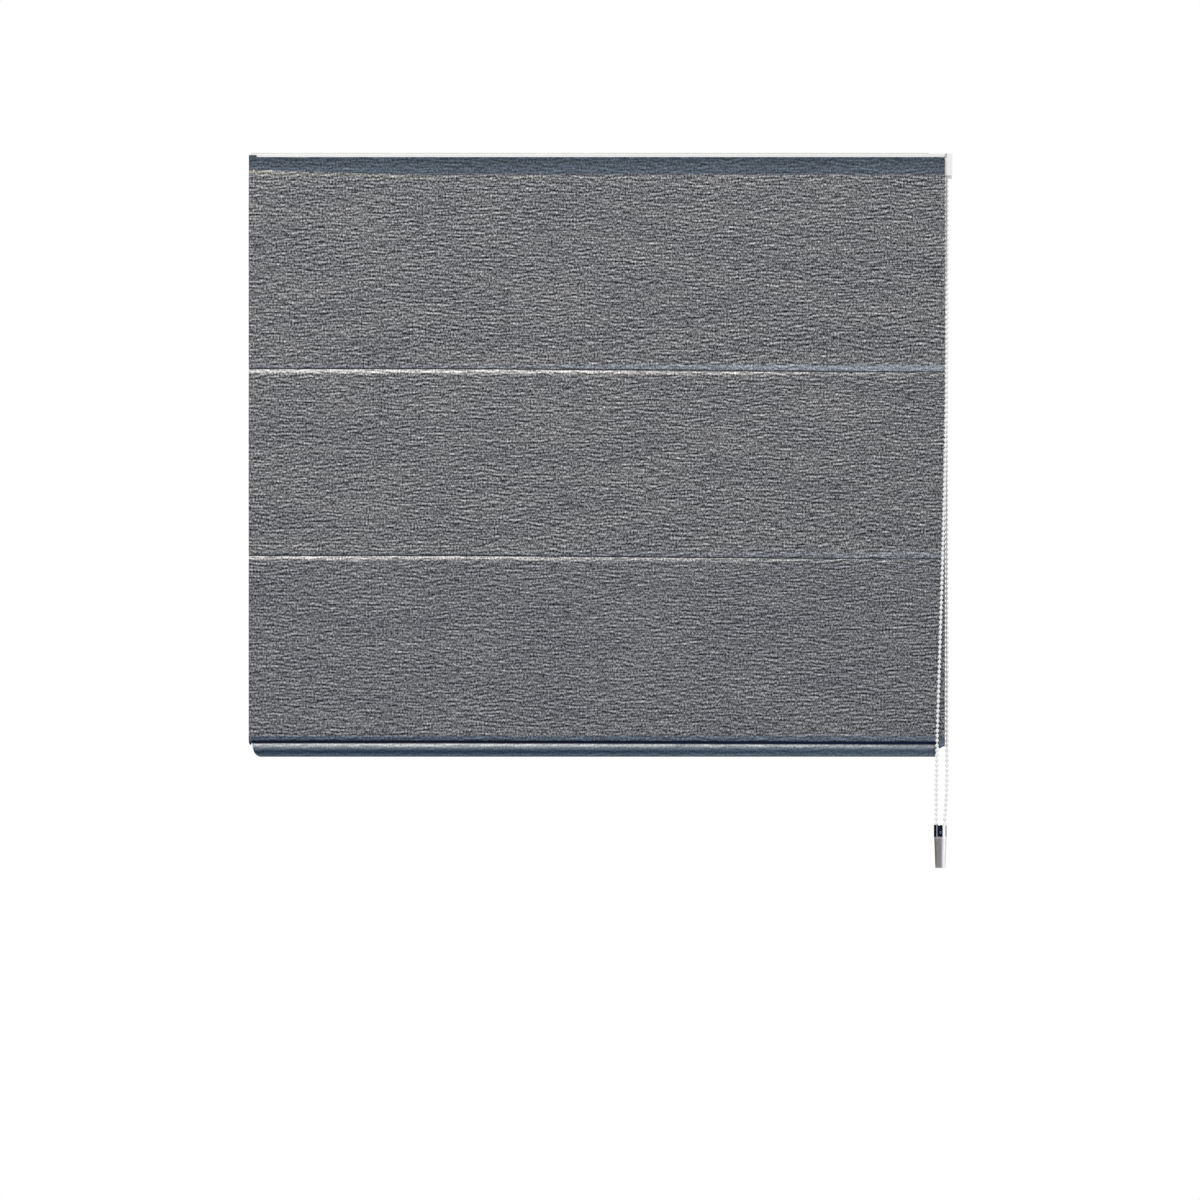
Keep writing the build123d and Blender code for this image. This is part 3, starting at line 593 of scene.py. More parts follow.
tree, shader = new_finish("cloth", Specular_IOR_Level=0.06, Sheen_Weight=0.05,
                          Sheen_Roughness=0.5)
place = cut_place(tree)
dye = add_node(tree, "Attribute", {"attribute_name": "dye"}).outputs
weave = use_effect(tree, "plain_weave", Place=place, Warp_Pitch=warp_pitch, Weft_Pitch=weft_pitch)
heather = use_effect(tree, "heather", Place=place, Row_Height=row_height,
                     Slub_Length=slub_length)
lint = swing(tree, scaled(tree, place, (500, 400, 1)), 0)
tone = total(tree, (heather["Slub"], 0.95), (heather["Shadow"], -0.60), (lint, 0.95),
             (weave["Warp On Top"], -0.35), (heather["Drift"], 0.13))
contrast = between(tree, dye["Alpha"], loose_contrast, tight_contrast)
brightness = calc(tree, "MAXIMUM", calc(tree, "MULTIPLY_ADD", tone, contrast, 1.0), 0.0)
yarn = mix(tree, mask(tree, heather["Drift"], -0.8, 0.8), cool_yarn, warm_yarn)
# The painted light and shade stored on the mesh turns the yarn's colour here.
yarn = mix(tree, dye["Alpha"], yarn, dye["Color"])
thread_height = calc(tree, "MULTIPLY_ADD", heather["Slub"], 0.25, weave["Height"])
dress(tree, shader, scaled(tree, yarn, calc(tree, "POWER", brightness, tone_power)),
      between(tree, weave["Thread Tone"], 0.78, 0.95),
      relief(tree, thread_height, 0.25 * MM, 0.5))
print("cloth finish:", len(tree.nodes), "nodes")

# %% [markdown]
# ## The shape of the face cloth
#
# Between two battens the cloth hangs as a flat panel that stands about 4 mm in front of the
# seams, because the battens pull it back. Just under each seam it comes out over a short ledge,
# which faces up and catches the light. Just above the next seam it tucks back under a longer
# curve, which faces down and stays dark. Both are quarter ellipses, so one function of height
# gives the whole outline. The seams' places come from the battens in the frame.

# %% Places read from the frame


def middle_z(node):
    """The height of the middle of a CAD node."""
    low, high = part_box(node)
    return (low[2] + high[2]) / 2


cloth_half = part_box("face_fabric")[1][0]
cloth_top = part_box("face_fabric")[1][2]
cloth_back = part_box("loop_tape")[0][1]
cloth_thickness = 1.0 * MM
cloth_front = cloth_back - cloth_thickness
upper_seam, lower_seam = middle_z("batten_upper"), middle_z("batten_lower")
tail_length = 8 * MM
sleeve_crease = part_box("bar_sleeve")[1][2] - tail_length
header_foot = -11.0 * MM
crease = sleeve_crease + 0.4 * MM
seams = [header_foot, upper_seam, lower_seam, crease]
print("seams at", [round(seam / MM, 1) for seam in seams], "mm")

# %% Rows of the hanging cloth
panel_reach = 3.3 * MM
panel_bow = 0.6 * MM
ledge_reach = 4.2 * MM
header_reach = 34 * MM
tuck_reach = 6.0 * MM
near_seam = 16 * MM
fine_rows, wide_rows = 1.2 * MM, 6 * MM


def shoulder(seam, reach, side, steps):
    """Rows of a quarter ellipse from a seam: front height, back height and how far out it is."""
    rows = []
    for step in range(steps + 1):
        turn = math.pi / 2 * step / steps
        rise = side * (1 - math.cos(turn))
        rows.append((seam + rise * reach, seam + rise * (reach + cloth_thickness),
                     panel_reach * math.sin(turn)))
    return rows


def even_rows(high, low, spacing):
    """Heights from one to another, about so far apart, without the first and the last."""
    count = max(1, round((high - low) / spacing))
    return [high + (low - high) * step / count for step in range(1, count)]


def panel_rows(top, foot):
    """Rows of one panel, from the ledge under a seam to the tuck above the next."""
    reach, steps = (header_reach, 24) if top == header_foot else (ledge_reach, 9)
    rows = shoulder(top, reach, -1, steps)
    high, low = top - reach - cloth_thickness, foot + tuck_reach + cloth_thickness
    fine_high, fine_low = min(high, top - near_seam), foot + near_seam
    levels = even_rows(high, fine_high, fine_rows) + [fine_high] if fine_high < high else []
    levels += even_rows(fine_high, fine_low, wide_rows) + [fine_low]
    levels += even_rows(fine_low, low, fine_rows)
    for level in levels:
        share = (high - level) / (high - low)
        rows.append((level, level, panel_reach + panel_bow * math.sin(math.pi * share)))
    return rows + shoulder(foot, tuck_reach, 1, 10)[::-1]


drop_rows = [row for top, foot in zip(seams, seams[1:]) for row in panel_rows(top, foot)]
print(len(drop_rows), "rows")

# %% [markdown]
# ## Slack and puckers
#
# A hanging cloth is never quite flat. Slow waves cross each panel and die out at the seams,
# where the battens hold it straight. The seams' stitches gather the cloth a little, so short
# puckers run down from them and fade within a couple of centimetres. Both are noise read at the
# point's own place, so the cloth comes out the same each time. The folds hang lower towards the
# right end, and both bottom corners hang a little loose beside the ends of the sleeve.

# %% Slack of the cloth
wave_depth = 0.9 * MM
pucker_depth = 0.45 * MM
ripple_depth = 0.5 * MM


def slack(across, level):
    """How far the cloth stands out of its plain outline at a place."""
    away = min(abs(level - seam) for seam in seams)
    held = 1 - math.exp(-away / (45 * MM))
    wave = noise.noise((across * 6.5, level * 4.2, 1.7)) + 0.5 * noise.noise(
        (across * 15, level * 9, 6.1))
    pucker = noise.noise((across * 70, level * 8, 9.3)) * math.exp(-away / (13 * MM))
    ripple = noise.noise((across * 28, level * 5, 4.4)) * math.exp(-away / (40 * MM))
    start = min(1.0, away / (3 * MM))
    return wave_depth * held * wave + start * (pucker_depth * pucker + ripple_depth * ripple)


print("slack", round(slack(0, (upper_seam + lower_seam) / 2) / MM, 2), "mm at the middle")

# %% Droop and loose corners
upper_sag, lower_sag, crease_sag = 4.1 * MM, 4.3 * MM, 1.4 * MM
sag_height = 38 * MM
droop_start, droop_width = -0.18, 0.55
hook_drop, flap_drop, corner_height = 3.8 * MM, 7.4 * MM, 9 * MM


def smooth_step(value, low, high):
    """0 below the low value, 1 above the high one, smooth between."""
    share = min(1.0, max(0.0, (value - low) / (high - low)))
    return share * share * (3 - 2 * share)


def droop_share(across):
    """Where the folds begin to hang low: 0 in the left third, 1 at the right edge."""
    return min(1.0, max(0.0, (across - droop_start) / droop_width))


def flap_share(across):
    """Where the loose corner hangs below the crease: 0 up to the chain, 1 beyond it."""
    return smooth_step(across, cloth_half - 9.3 * MM, cloth_half - 6.8 * MM)


def corner_drop(across, level):
    """The two bottom corners: a narrow hook on the left, a loose flap beyond the right end."""
    from_left = (across + cloth_half) / MM
    hook = smooth_step(from_left, -0.6, 1.4) * (1 - smooth_step(from_left, 2.6, 4.2))
    flap = flap_share(across) * (1 - 0.45 * smooth_step(across, 0.98 * cloth_half, cloth_half))
    return (hook_drop * hook + flap_drop * flap) * math.exp(-abs(level - crease) / corner_height)


def droop(across, level):
    """How far a fold hangs below its batten, which is more towards the right end."""
    low = corner_drop(across, level)
    for seam, most in ((upper_seam, upper_sag), (lower_seam, lower_sag), (crease, crease_sag)):
        low += most * droop_share(across) * math.exp(-((level - seam) / sag_height) ** 2)
    return low


print("right edge hangs", round(droop(cloth_half, upper_seam) / MM, 1), "mm at the upper seam")

# %% Columns across the cloth
column_spacing = 5 * MM
side_hem = 18 * MM
hem_fold = 0.8 * MM


def columns(half, spacing, extra=()):
    """Places across the blind, evenly spaced, with a few more where a step needs them."""
    count = round(2 * half / spacing)
    places = [-half + 2 * half * step / count for step in range(count + 1)]
    return sorted(places + [place for place in extra if abs(place) < half])


hem_edge = cloth_half - side_hem
extra_columns = [side * (hem_edge + step) for side in (-1, 1) for step in (-0.3 * MM, 0.3 * MM)]
extra_columns += [-cloth_half + step * MM for step in (1, 2, 2.6, 3.2, 3.8)]
extra_columns += [cloth_half - step * MM for step in (1, 2, 3, 4, 6, 6.8, 7.6, 8.4, 9.2)]
drop_columns = columns(cloth_half, column_spacing, extra_columns)
print(len(drop_columns), "columns")

# %% [markdown]
# ## Painted light and shade along the folds
#
# Close to a seam, light and shade are painted into the cloth's colour. Above the fold a paler
# grey-blue band is painted, as light that comes through the cloth over the white pocket tape; the
# fold itself is a thin line of painted shade; and on the ledge below it a pale highlight is
# painted. At the right end the folds are looser: the band is wider and the painted highlight is
# weaker. Each of these is a band of colour at some distance from the fold, with soft edges, laid
# over those before it.

# %% Painted light and shade along the folds
slate_shade = Vector((0.100, 0.123, 0.155))
crease_slate_shade = Vector((0.090, 0.119, 0.163))
deep_slate_shade = Vector((0.040, 0.060, 0.094))
gap_shadow_blue = Vector((0.002, 0.008, 0.028))
glow_through_cloth = Vector((0.300, 0.322, 0.365))
ledge_highlight = Vector((0.65, 0.64, 0.62))
sleeve_highlight = Vector((0.64, 0.65, 0.655))
warm_highlight = Vector((0.60, 0.57, 0.51))
dusk = Vector((0.070, 0.085, 0.118))
loose_slate_shade = Vector((0.128, 0.158, 0.205))


# %% Laying colour over colour
def soft_band(value, start, full, hold, end):
    """0 outside start and end, 1 from full to hold, smooth between. All but the first in mm."""
    return smooth_step(value / MM, start, full) * (1 - smooth_step(value / MM, hold, end))


def lay_over(dye, colour, strength):
    """Lays a colour over a colour with its own strength, as paint on glass."""
    under, cover = dye
    strength = min(1.0, max(0.0, strength))
    whole = strength + cover * (1 - strength)
    if whole <= 0:
        return dye
    return (colour * strength + under * cover * (1 - strength)) / whole, whole


def lay_band(dye, colour, strength, below, *band):
    """Lays a painted colour over the painted light and shade before it, in a soft band at some
    distance below the fold.
    """
    return lay_over(dye, colour, strength * soft_band(below, *band))


def uneven(across, spacing, shift):
    """A factor about 1 that varies along the blind."""
    return 1 + 0.45 * noise.noise((across / spacing, shift, 2.2))


# %% Painted light and shade of the hanging cloth
def groove_painted_light(across, below, strong):
    """The painted light round a batten's groove, at a distance below the fold: a pale band above,
    a dark line of painted shade in the fold, and a painted highlight on the ledge below.
    """
    loose = droop_share(across)
    glow = (0.2 + 0.5 * strong + 0.3 * loose) * (0.45 + 0.5 * loose)
    dye = lay_band((glow_through_cloth, 0.0), glow_through_cloth, glow, below,
                   -6.3 - 2.5 * loose, -3.9 - 2.8 * loose, -1.5, -0.4)
    fold_shade = (0.95 - 0.35 * strong) * (1 - 0.6 * loose)
    dye = lay_band(dye, deep_slate_shade, fold_shade, below, -1.1, -0.35, 0.25, 0.9)
    highlight = (0.64 + 0.26 * strong) * (1 - 0.62 * loose) * uneven(across, 0.02, below * 40)
    highlight *= 1 - 0.5 * smooth_step(across, 0.14, 0.40)
    colour, strength = lay_band(dye, ledge_highlight, highlight, below,
                                0.5, 1.5, 2.6 - 0.7 * loose, 7.6 - 2.2 * loose)
    return colour, 1.2 * strength


def header_painted_light(across, below):
    """The painted shade of the header, darker towards its top, which ends in a slanting, wavy line
    with painted pale highlight streaks under it, strongest at the left end.
    """
    near_end = 1 - smooth_step(across, -cloth_half, -0.19)
    corner = 1 - smooth_step(across, -cloth_half, -0.37)
    edge = 2.6 - 5.4 * near_end - 1.2 * corner + 1.2 * noise.noise((across * 14, 0.3, 5.0))
    depth = smooth_step(-below, 0.0, cloth_top - header_foot)
    # The header is painted in slate shade, darker towards its top.
    dye = (slate_shade * (1.02 - 0.36 * depth), 1 - smooth_step(below / MM, edge - 1.1, edge + 0.9))
    streak = 1 + noise.noise((across * 45, below * 330, 7.5))
    streak_highlight = streak * (0.07 * (1 - 0.6 * droop_share(across)) + 0.10 * near_end + 0.28 * corner)
    return lay_band(dye, warm_highlight, streak_highlight, below, edge - 0.6, edge + 0.8, edge + 2.5, edge + 8)


def crease_painted_light(across, below):
    """The painted shade above the bottom bar, and the painted shadow in the gap over it, which the
    flap lacks, with a dark hook of painted shade at the left corner.
    """
    gap = 1 - flap_share(across)
    loose = droop_share(across)
    dye = (crease_slate_shade.lerp(loose_slate_shade, loose),
           0.95 * soft_band(below, -8.2 - 2.0 * loose, -5.2 - 2.2 * loose, 9, 10))
    dye = lay_band(dye, deep_slate_shade, 0.25 + 0.75 * gap, below, -3.2 + 0.6 * loose, -1.3, 9, 10)
    # The left corner's hook is painted dark, as shade.
    hook = 1 - smooth_step((across + cloth_half) / MM, 2.4, 4.0)
    dye = lay_band(dye, gap_shadow_blue, 0.8 * hook, below, -4.2, -1.6, 9, 10)
    return lay_band(dye, gap_shadow_blue, gap, below, -1.9, -0.8, 9, 10)


def drop_painted_light(across, level):
    """The painted light and shade, with its strength, at a place on the hanging cloth, before it
    droops.
    """
    nearest = min(seams, key=lambda seam: abs(level - seam))
    below = nearest - level
    if nearest == header_foot:
        return header_painted_light(across, below)
    if nearest == crease:
        dye = crease_painted_light(across, below)
    else:
        dye = groove_painted_light(across, below, 1.0 if nearest == upper_seam else 0.0)
    # Below the lower seam the whole panel is laid a little darker and bluer.
    return dye if level > lower_seam else lay_over((dusk, 0.13), *dye)


print("groove colours:", [round(groove_painted_light(0, step * MM, 1.0)[1], 2) for step in range(-6, 10, 2)])

# %% [markdown]
# ## Building the hanging cloth
#
# Each row is a ring: the front from left to right, then the back from right to left. Stacked
# rings make a closed skin with a real thickness, hems turned in behind both sides, and no loose
# edge. The UV map keeps each point's place on the cut cloth, in metres.

# %% Cloth skin


def cloth_mesh(name, points, faces, places, painted_lights=()):
    """A mesh that keeps where each point lay on the flat cut cloth, and its painted light and
    shade if it has them.
    """
    mesh = new_mesh(name, points, faces)
    layer = mesh.uv_layers.new(name="cut")
    for loop in mesh.loops:
        layer.data[loop.index].uv = places[loop.vertex_index]
    if painted_lights:
        layer = mesh.color_attributes.new(name="dye", type="FLOAT_COLOR", domain="POINT")
        layer.data.foreach_set("color", [channel for colour, strength in painted_lights
                                         for channel in (*colour, strength)])
    return mesh


def drop_mesh():
    """The hanging cloth from the header's foot to the sleeve, and the length of cloth in it."""
    points, places, painted_lights = [], [], []
    run = cloth_top - header_foot
    last_z, _, last_reach = drop_rows[0]
    for front_z, back_z, reach in drop_rows:
        run += math.hypot(front_z - last_z, reach - last_reach)
        last_z, last_reach = front_z, reach
        for across in drop_columns:
            points.append((across, cloth_front - reach - slack(across, front_z),
                           front_z - droop(across, front_z)))
        for across in reversed(drop_columns):
            hem = hem_fold * min(1, reach / panel_reach) if abs(across) > hem_edge else 0.0
            points.append((across, cloth_back - reach - slack(across, back_z) + hem,
                           back_z - droop(across, front_z)))
        for across in drop_columns + drop_columns[::-1]:
            places.append((across, -run))
            painted_lights.append(drop_painted_light(across, front_z))
    faces = slab_faces(len(drop_rows), 2 * len(drop_columns))
    return cloth_mesh("cloth_drop", points, faces, places, painted_lights), run


drop, cut_run = drop_mesh()
cloth_drop = add_piece(drop, "rail", "cloth")
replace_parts(cloth_drop, "face_fabric")
print("cloth drop:", len(drop.polygons), "faces,", round(cut_run, 4), "m of cloth to the crease")

# %% [markdown]
# ## The header
#
# The top 20 mm of the cloth is stuck flat on the rail by hook and loop tape. It never moves when
# the blind is raised, so it is a piece of its own that rides on the rail. At the left corner the
# turned-in hem stands a little above the edge.

# %% Header band
corner_tab = 9.5 * MM
tab_rise = 2.4 * MM
tab_end = -cloth_half + corner_tab
lip_height, header_wave = 0.12 * MM, 0.15 * MM
header_columns = columns(cloth_half, column_spacing, [tab_end - 0.2 * MM, tab_end + 0.2 * MM])


def header_mesh():
    """The flat band of cloth over the tapes, with its raised corner."""
    points, places = [], []
    levels = [cloth_top] + even_rows(cloth_top, header_foot, 1 * MM) + [header_foot]
    for level in levels:
        for depth, line in ((cloth_front, header_columns), (cloth_back, header_columns[::-1])):
            for across in line:
                rise = lip = 0.0
                if level == cloth_top:
                    rise = tab_rise if across < tab_end else 0.0
                    lip = lip_height * noise.noise((across * 60, level * 40, 3.0))
                height = level + rise + lip
                wave = header_wave * abs(noise.noise((across * 30, height * 30, 8.8)))
                points.append((across, depth - wave, height))
                places.append((across, level - cloth_top + rise))
    faces = slab_faces(len(levels), 2 * len(header_columns))
    painted_lights = [header_painted_light(across, header_foot - height) for across, _, height in points]
    return cloth_mesh("cloth_header", points, faces, places, painted_lights)


cloth_header = add_piece(header_mesh(), "rail", "cloth")
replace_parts(cloth_header, "face_fabric")
print("header:", len(header_columns), "columns")

# %% [markdown]
# ## The sleeve round the bottom bar
#
# The bar slides into a tube of the same cloth, which hangs from the crease by a short tail of two
# layers. The tube is drawn as a loop that fills the box of its CAD node, so it follows the bar's
# size. A seam runs along its foot. The left end is rounded off and the right end is cut on a
# slant. The outer and the inner loop have the same number of points, so the cut ends close with
# quads.

# %% Sleeve outline
sleeve_low, sleeve_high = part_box("bar_sleeve")
sleeve_rear, sleeve_nose = sleeve_high[1], sleeve_low[1]
sleeve_radius = (sleeve_rear - sleeve_nose) / 2
sleeve_middle = (sleeve_rear + sleeve_nose) / 2
arc_top = sleeve_crease - sleeve_radius
arc_foot = sleeve_low[2] + sleeve_radius
tail_front = sleeve_rear - 2 * MM
tail_turn = math.acos((tail_front - sleeve_middle) / sleeve_radius)
seam_level = sleeve_low[2] + 5.6 * MM


def sleeve_loop(radius, tail):
    """Points round the sleeve's section, from the tail's top, over the front and up behind."""

    def on_arc(turn, middle):
        """A point of the round top or foot."""
        return sleeve_middle + radius * math.cos(turn), middle + radius * math.sin(turn)

    if tail:
        points = [(tail_front, sleeve_high[2] - step * tail_length / 4) for step in range(5)]
        rear, rear_top = sleeve_rear, sleeve_high[2]
    else:
        points = [on_arc(tail_turn - 0.25 * (4 - step) / 4, arc_top) for step in range(5)]
        rear, rear_top = sleeve_middle + radius, on_arc(tail_turn - 0.35, arc_top)[1]
    points += [on_arc(tail_turn + (math.pi - tail_turn) * step / 12, arc_top)
               for step in range(1, 13)]
    points += [(sleeve_middle - radius, arc_top - (arc_top - arc_foot) * step / 9)
               for step in range(1, 10)]
    points += [on_arc(math.pi + math.pi * step / 16, arc_foot) for step in range(1, 17)]
    points += [(rear, arc_foot + (rear_top - arc_foot) * step / 6) for step in range(1, 7)]
    return points


outer_loop = sleeve_loop(sleeve_radius, True)
inner_loop = sleeve_loop(sleeve_radius - cloth_thickness, False)
print(len(outer_loop), len(inner_loop), "points round the sleeve")

# %% Cut ends and sewn foot of the sleeve
sleeve_columns = columns(1.0, 0.012)
dent_depth, dent_height = 0.45 * MM, 0.9 * MM
sleeve_wave = 0.35 * MM


def sleeve_place(share, level):
    """A place along the sleeve. The left end is cut round, and the right end on a slant."""
    low = (sleeve_high[2] - level) / (sleeve_high[2] - sleeve_low[2])
    cut = 2.4 + 4.8 * low + 6.6 * low ** 9 if share < 0 else 8.0 + 4.0 * low
    return share * (cloth_half - cut * MM)


def seam_dent(level):
    """The sewn seam along the foot of the sleeve pulls the cloth in."""
    return dent_depth * math.exp(-((level - seam_level) / dent_height) ** 2)


print(len(sleeve_columns), "columns along the sleeve")


# %% Painted light and shade of the sleeve
def sleeve_painted_light(across, below):
    """The painted shade and highlight on the front of the sleeve, at a distance below the crease:
    painted shadow in the gap at its top, a pale highlight under it, and darker shade lower down.
    """
    loose = droop_share(across)
    late = 1.6 * loose
    dye = (crease_slate_shade.lerp(loose_slate_shade, 0.8 * loose), 1.0)
    dye = lay_band(dye, deep_slate_shade, 1 - 0.45 * loose, below, 8.0, 10.6, 13.4, 15.6)
    dye = lay_band(dye, gap_shadow_blue, 0.35 - 0.25 * loose, below, 9.0, 11.2, 12.4, 13.8)
    dye = lay_over(dye, gap_shadow_blue, 1 - smooth_step(below / MM, 1.0 + late, 2.0 + late))
    highlight = (0.88 - 0.2 * loose) * uneven(across, 0.03, 1.0)
    highlight *= 1 - 0.3 * smooth_step(across, 0.30, 0.41)
    dye = lay_band(dye, sleeve_highlight, 0.12, below, 4.0, 6.0, 6.5, 9.0)
    colour, _ = lay_band(dye, sleeve_highlight, highlight, below, 1.3 + late, 2.5 + late,
                         3.1 + 0.8 * late, 7.4 - 0.2 * late)
    return colour, 1.6


# %% Sleeve skin
def sleeve_mesh():
    """The tube of cloth, with its tail, its seam and its slanted ends."""
    points, places, painted_lights = [], [], []
    runs = [0.0]
    for here, there in zip(outer_loop, outer_loop[1:]):
        runs.append(runs[-1] + math.dist(here, there))
    for share in sleeve_columns:
        for run, (depth, level) in zip(runs, outer_loop):
            across = sleeve_place(share, level)
            places.append((across, tail_length - cut_run - run))
            if depth < sleeve_middle:
                depth += seam_dent(level)
                depth += sleeve_wave * abs(noise.noise((across * 22, level * 40, 5.5)))
                painted_lights.append(sleeve_painted_light(across, sleeve_crease - level))
            else:
                # The back and the inside of the sleeve are painted in the slate shade.
                painted_lights.append((slate_shade, 1 - smooth_step(depth, sleeve_middle, sleeve_rear)))
            points.append((across, depth, level))
    for share in sleeve_columns:
        for depth, level in inner_loop:
            across = sleeve_place(share, level)
            points.append((across, depth, level))
            places.append((across, level))
            painted_lights.append((slate_shade, 0.5))
    faces = tube_faces(len(sleeve_columns), len(outer_loop))
    return cloth_mesh("cloth_sleeve", points, faces, places, painted_lights)


cloth_sleeve = add_piece(sleeve_mesh(), "bottom_bar", "cloth")
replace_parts(cloth_sleeve, "bar_sleeve")
print("sleeve:", len(cloth_sleeve.data.polygons), "faces")

# %% [markdown]
# ## Batten pockets
#
# Each batten slides in a pocket of pale tape that is sewn along the back of the cloth. The pocket
# bulges over the batten and is pressed flat along its two sewn edges. Its section is drawn once,
# outside and inside, and lofted along the blind with a slight waviness.

# %% Pocket tapes
pocket_rings = 150


def pocket_section(upper_half):
    """A section through a pocket, in millimetres: its upper half, the lower one, and the seat."""
    seat, crown = upper_half[0][0], upper_half[-1][0]
    lower_half = [(depth, -rise) for depth, rise in upper_half[::-1]]
    return upper_half + [(crown, 0.0)] + lower_half + [(seat, -3.0), (seat, 3.0)]


pocket_outer = pocket_section([(0.0, 8.0), (1.1, 8.0), (1.25, 7.2), (1.4, 6.5), (2.6, 6.1),
                               (3.5, 5.4), (3.9, 4.2), (4.0, 2.0)])
pocket_inner = pocket_section([(0.7, 6.2), (0.8, 6.3), (1.0, 6.3), (1.3, 6.2), (2.2, 5.7),
                               (2.9, 5.1), (3.2, 4.0), (3.3, 2.0)])


def pocket_mesh(name, node, level):
    """The sewn pocket that stands for a CAD tape node."""
    low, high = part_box(node)
    points, places = [], []
    for section in (pocket_outer, pocket_inner):
        for ring in range(pocket_rings):
            across = low[0] + (high[0] - low[0]) * ring / (pocket_rings - 1)
            for depth, rise in section:
                wave = 0.12 * noise.noise((across * 40, rise * 0.1, level * 90))
                out = max(0.0, depth * (1 + 0.25 * wave))
                points.append((across, low[1] + out * MM, level + (rise + wave) * MM))
                places.append((across, rise * MM))
    return cloth_mesh(name, points, tube_faces(pocket_rings, len(pocket_outer)), places)


pocket_tapes = {}
for row, level in (("upper", upper_seam), ("lower", lower_seam)):
    pocket = pocket_mesh(f"pocket_tape_{row}", f"batten_pocket_{row}", level)
    pocket_tapes[row] = add_piece(pocket, f"{row}_batten", "tape")
    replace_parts(pocket_tapes[row], f"batten_pocket_{row}")
print("pocket tapes:", [len(piece.data.polygons) for piece in pocket_tapes.values()], "faces")

# %% [markdown]
# ## Stitches
#
# Machine stitching is a row of short thread arcs, each dipping into the cloth at both ends. One
# stitch is a thin six-sided tube on a small arc. A row of them along a line makes a seam, and the
# same helper sews the pockets, the side hems and the cord rings.

# %% Stitch helper
stitch_radius, stitch_height = 0.22 * MM, 0.35 * MM
stitch_sink = 0.1 * MM
stitch_pitch, stitch_share = 4.0 * MM, 0.72
stitch_rings, stitch_sides = 5, 6


def sew(points, faces, start, end):
    """Adds one stitch from start to end, which arches out of the back of the cloth."""
    run = end - start
    side = run.normalized().cross(BACKWARD)
    faces += shifted(capped_faces(stitch_rings, stitch_sides), len(points))
    for step in range(stitch_rings):
        share = step / (stitch_rings - 1)
        arch = math.sin(math.pi * share)
        centre = start + run * share + BACKWARD * (stitch_height * arch - stitch_sink)
        points += round_ring(centre, stitch_radius * (0.75 + 0.25 * arch), stitch_sides, side,
                             BACKWARD)


def seam_row(points, faces, place_at, length):
    """Sews along a line, where place_at gives the point at each distance."""
    for number in range(int(length / stitch_pitch)):
        start = (number + (1 - stitch_share) / 2) * stitch_pitch
        sew(points, faces, place_at(start), place_at(start + stitch_pitch * stitch_share))


def sewn_mesh(name, points, faces):
    """A small sewn part as one mesh, with its map laid over its front."""
    return cloth_mesh(name, points, faces, [(point[0], point[2]) for point in points])


# %% Pocket and ring stitches
ring_names = ["left", "middle", "right"]
pocket_seam = 7.3 * MM
tape_lift = 1.2 * MM
half_stitch = Vector((0, 0, 1.3 * MM))
for row, level in (("upper", upper_seam), ("lower", lower_seam)):
    points, faces = [], []
    low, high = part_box(f"batten_pocket_{row}")
    for rise in (-pocket_seam, pocket_seam):
        seam_row(points, faces,
                 lambda run: Vector((low[0] + run, low[1] + tape_lift, level + rise)),
                 high[0] - low[0])
    for name in ring_names:
        plate_low, plate_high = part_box(f"cord_ring_{row}_{name}")
        middle = (plate_low[0] + plate_high[0]) / 2
        for side in (-3.4 * MM, 3.4 * MM):
            for rise in (-2.6 * MM, 2.6 * MM):
                seat = Vector((middle + side, high[1] + tape_lift, level + rise))
                sew(points, faces, seat - half_stitch, seat + half_stitch)
    add_piece(sewn_mesh(f"pocket_stitches_{row}", points, faces), f"{row}_batten", "cloth")
    print(row, "pocket:", len(faces), "stitch faces")

# %% Hem stitches
# The side hems are sewn down the back, 3 mm from their inner edge, and stop short of each seam.
hem_seam = hem_edge + 3 * MM


def back_place(across, level, top, foot):
    """The point on the back of one panel at a height well between its top and its foot."""
    share = (top - level - ledge_reach) / (top - foot - ledge_reach - tuck_reach)
    reach = panel_reach + panel_bow * math.sin(math.pi * share)
    return Vector((across, cloth_back - reach - slack(across, level) + hem_fold, level))


points, faces = [], []
for across in (-hem_seam, hem_seam):
    for top, foot in zip(seams, seams[1:]):
        high, low = top - 9 * MM, foot + 10 * MM
        seam_row(points, faces, lambda run: back_place(across, high - run, top, foot), high - low)
hem_stitches = add_piece(sewn_mesh("hem_stitches", points, faces), "rail", "cloth")
print("hem stitches:", len(faces), "faces")

# %% [markdown]
# ### The hook tape's cut end
#
# The hook tape's cut end stands up beside the face's top right corner, in front of the control
# unit. It is a small flat plate, so it is shaded flat.

# %% Tape's end
housing_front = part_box("control_housing")[0][1]
rail_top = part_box("headrail")[1][2]
tape_top = rail_top - 0.7 * MM
tape_foot = cloth_top - 0.1 * MM
tape_outline = [(cloth_half - 1.2 * MM, tape_foot), (cloth_half + 2.6 * MM, tape_foot),
                (cloth_half + 2.6 * MM, tape_top), (cloth_half + 1.1 * MM, tape_top)]
points = [(across, depth, level) for depth in (housing_front - 0.8 * MM, housing_front - 0.05 * MM)
          for across, level in tape_outline]
faces = [(0, 1, 2, 3), (7, 6, 5, 4)] + [(side, side + 4, (side + 1) % 4 + 4, (side + 1) % 4)
                                        for side in range(4)]
tape_end = add_piece(sewn_mesh("tape_end", points, faces), "rail", "tape")
tape_end.data.shade_flat()
print("tape end", round((tape_top - tape_foot) / MM, 1), "mm tall")

# %% [markdown]
# ## Lift cords
#
# Three braided cords run from the spools, down through the rings on the pockets, to the anchors
# at the bottom bar. They are held all the way and stay tight, so they are straight tubes with
# only a slight sway.

# %% Lift cord tubes
cord_rings, cord_sides = 120, 12
cord_radius = 0.7 * MM
cord_sway = 0.15 * MM


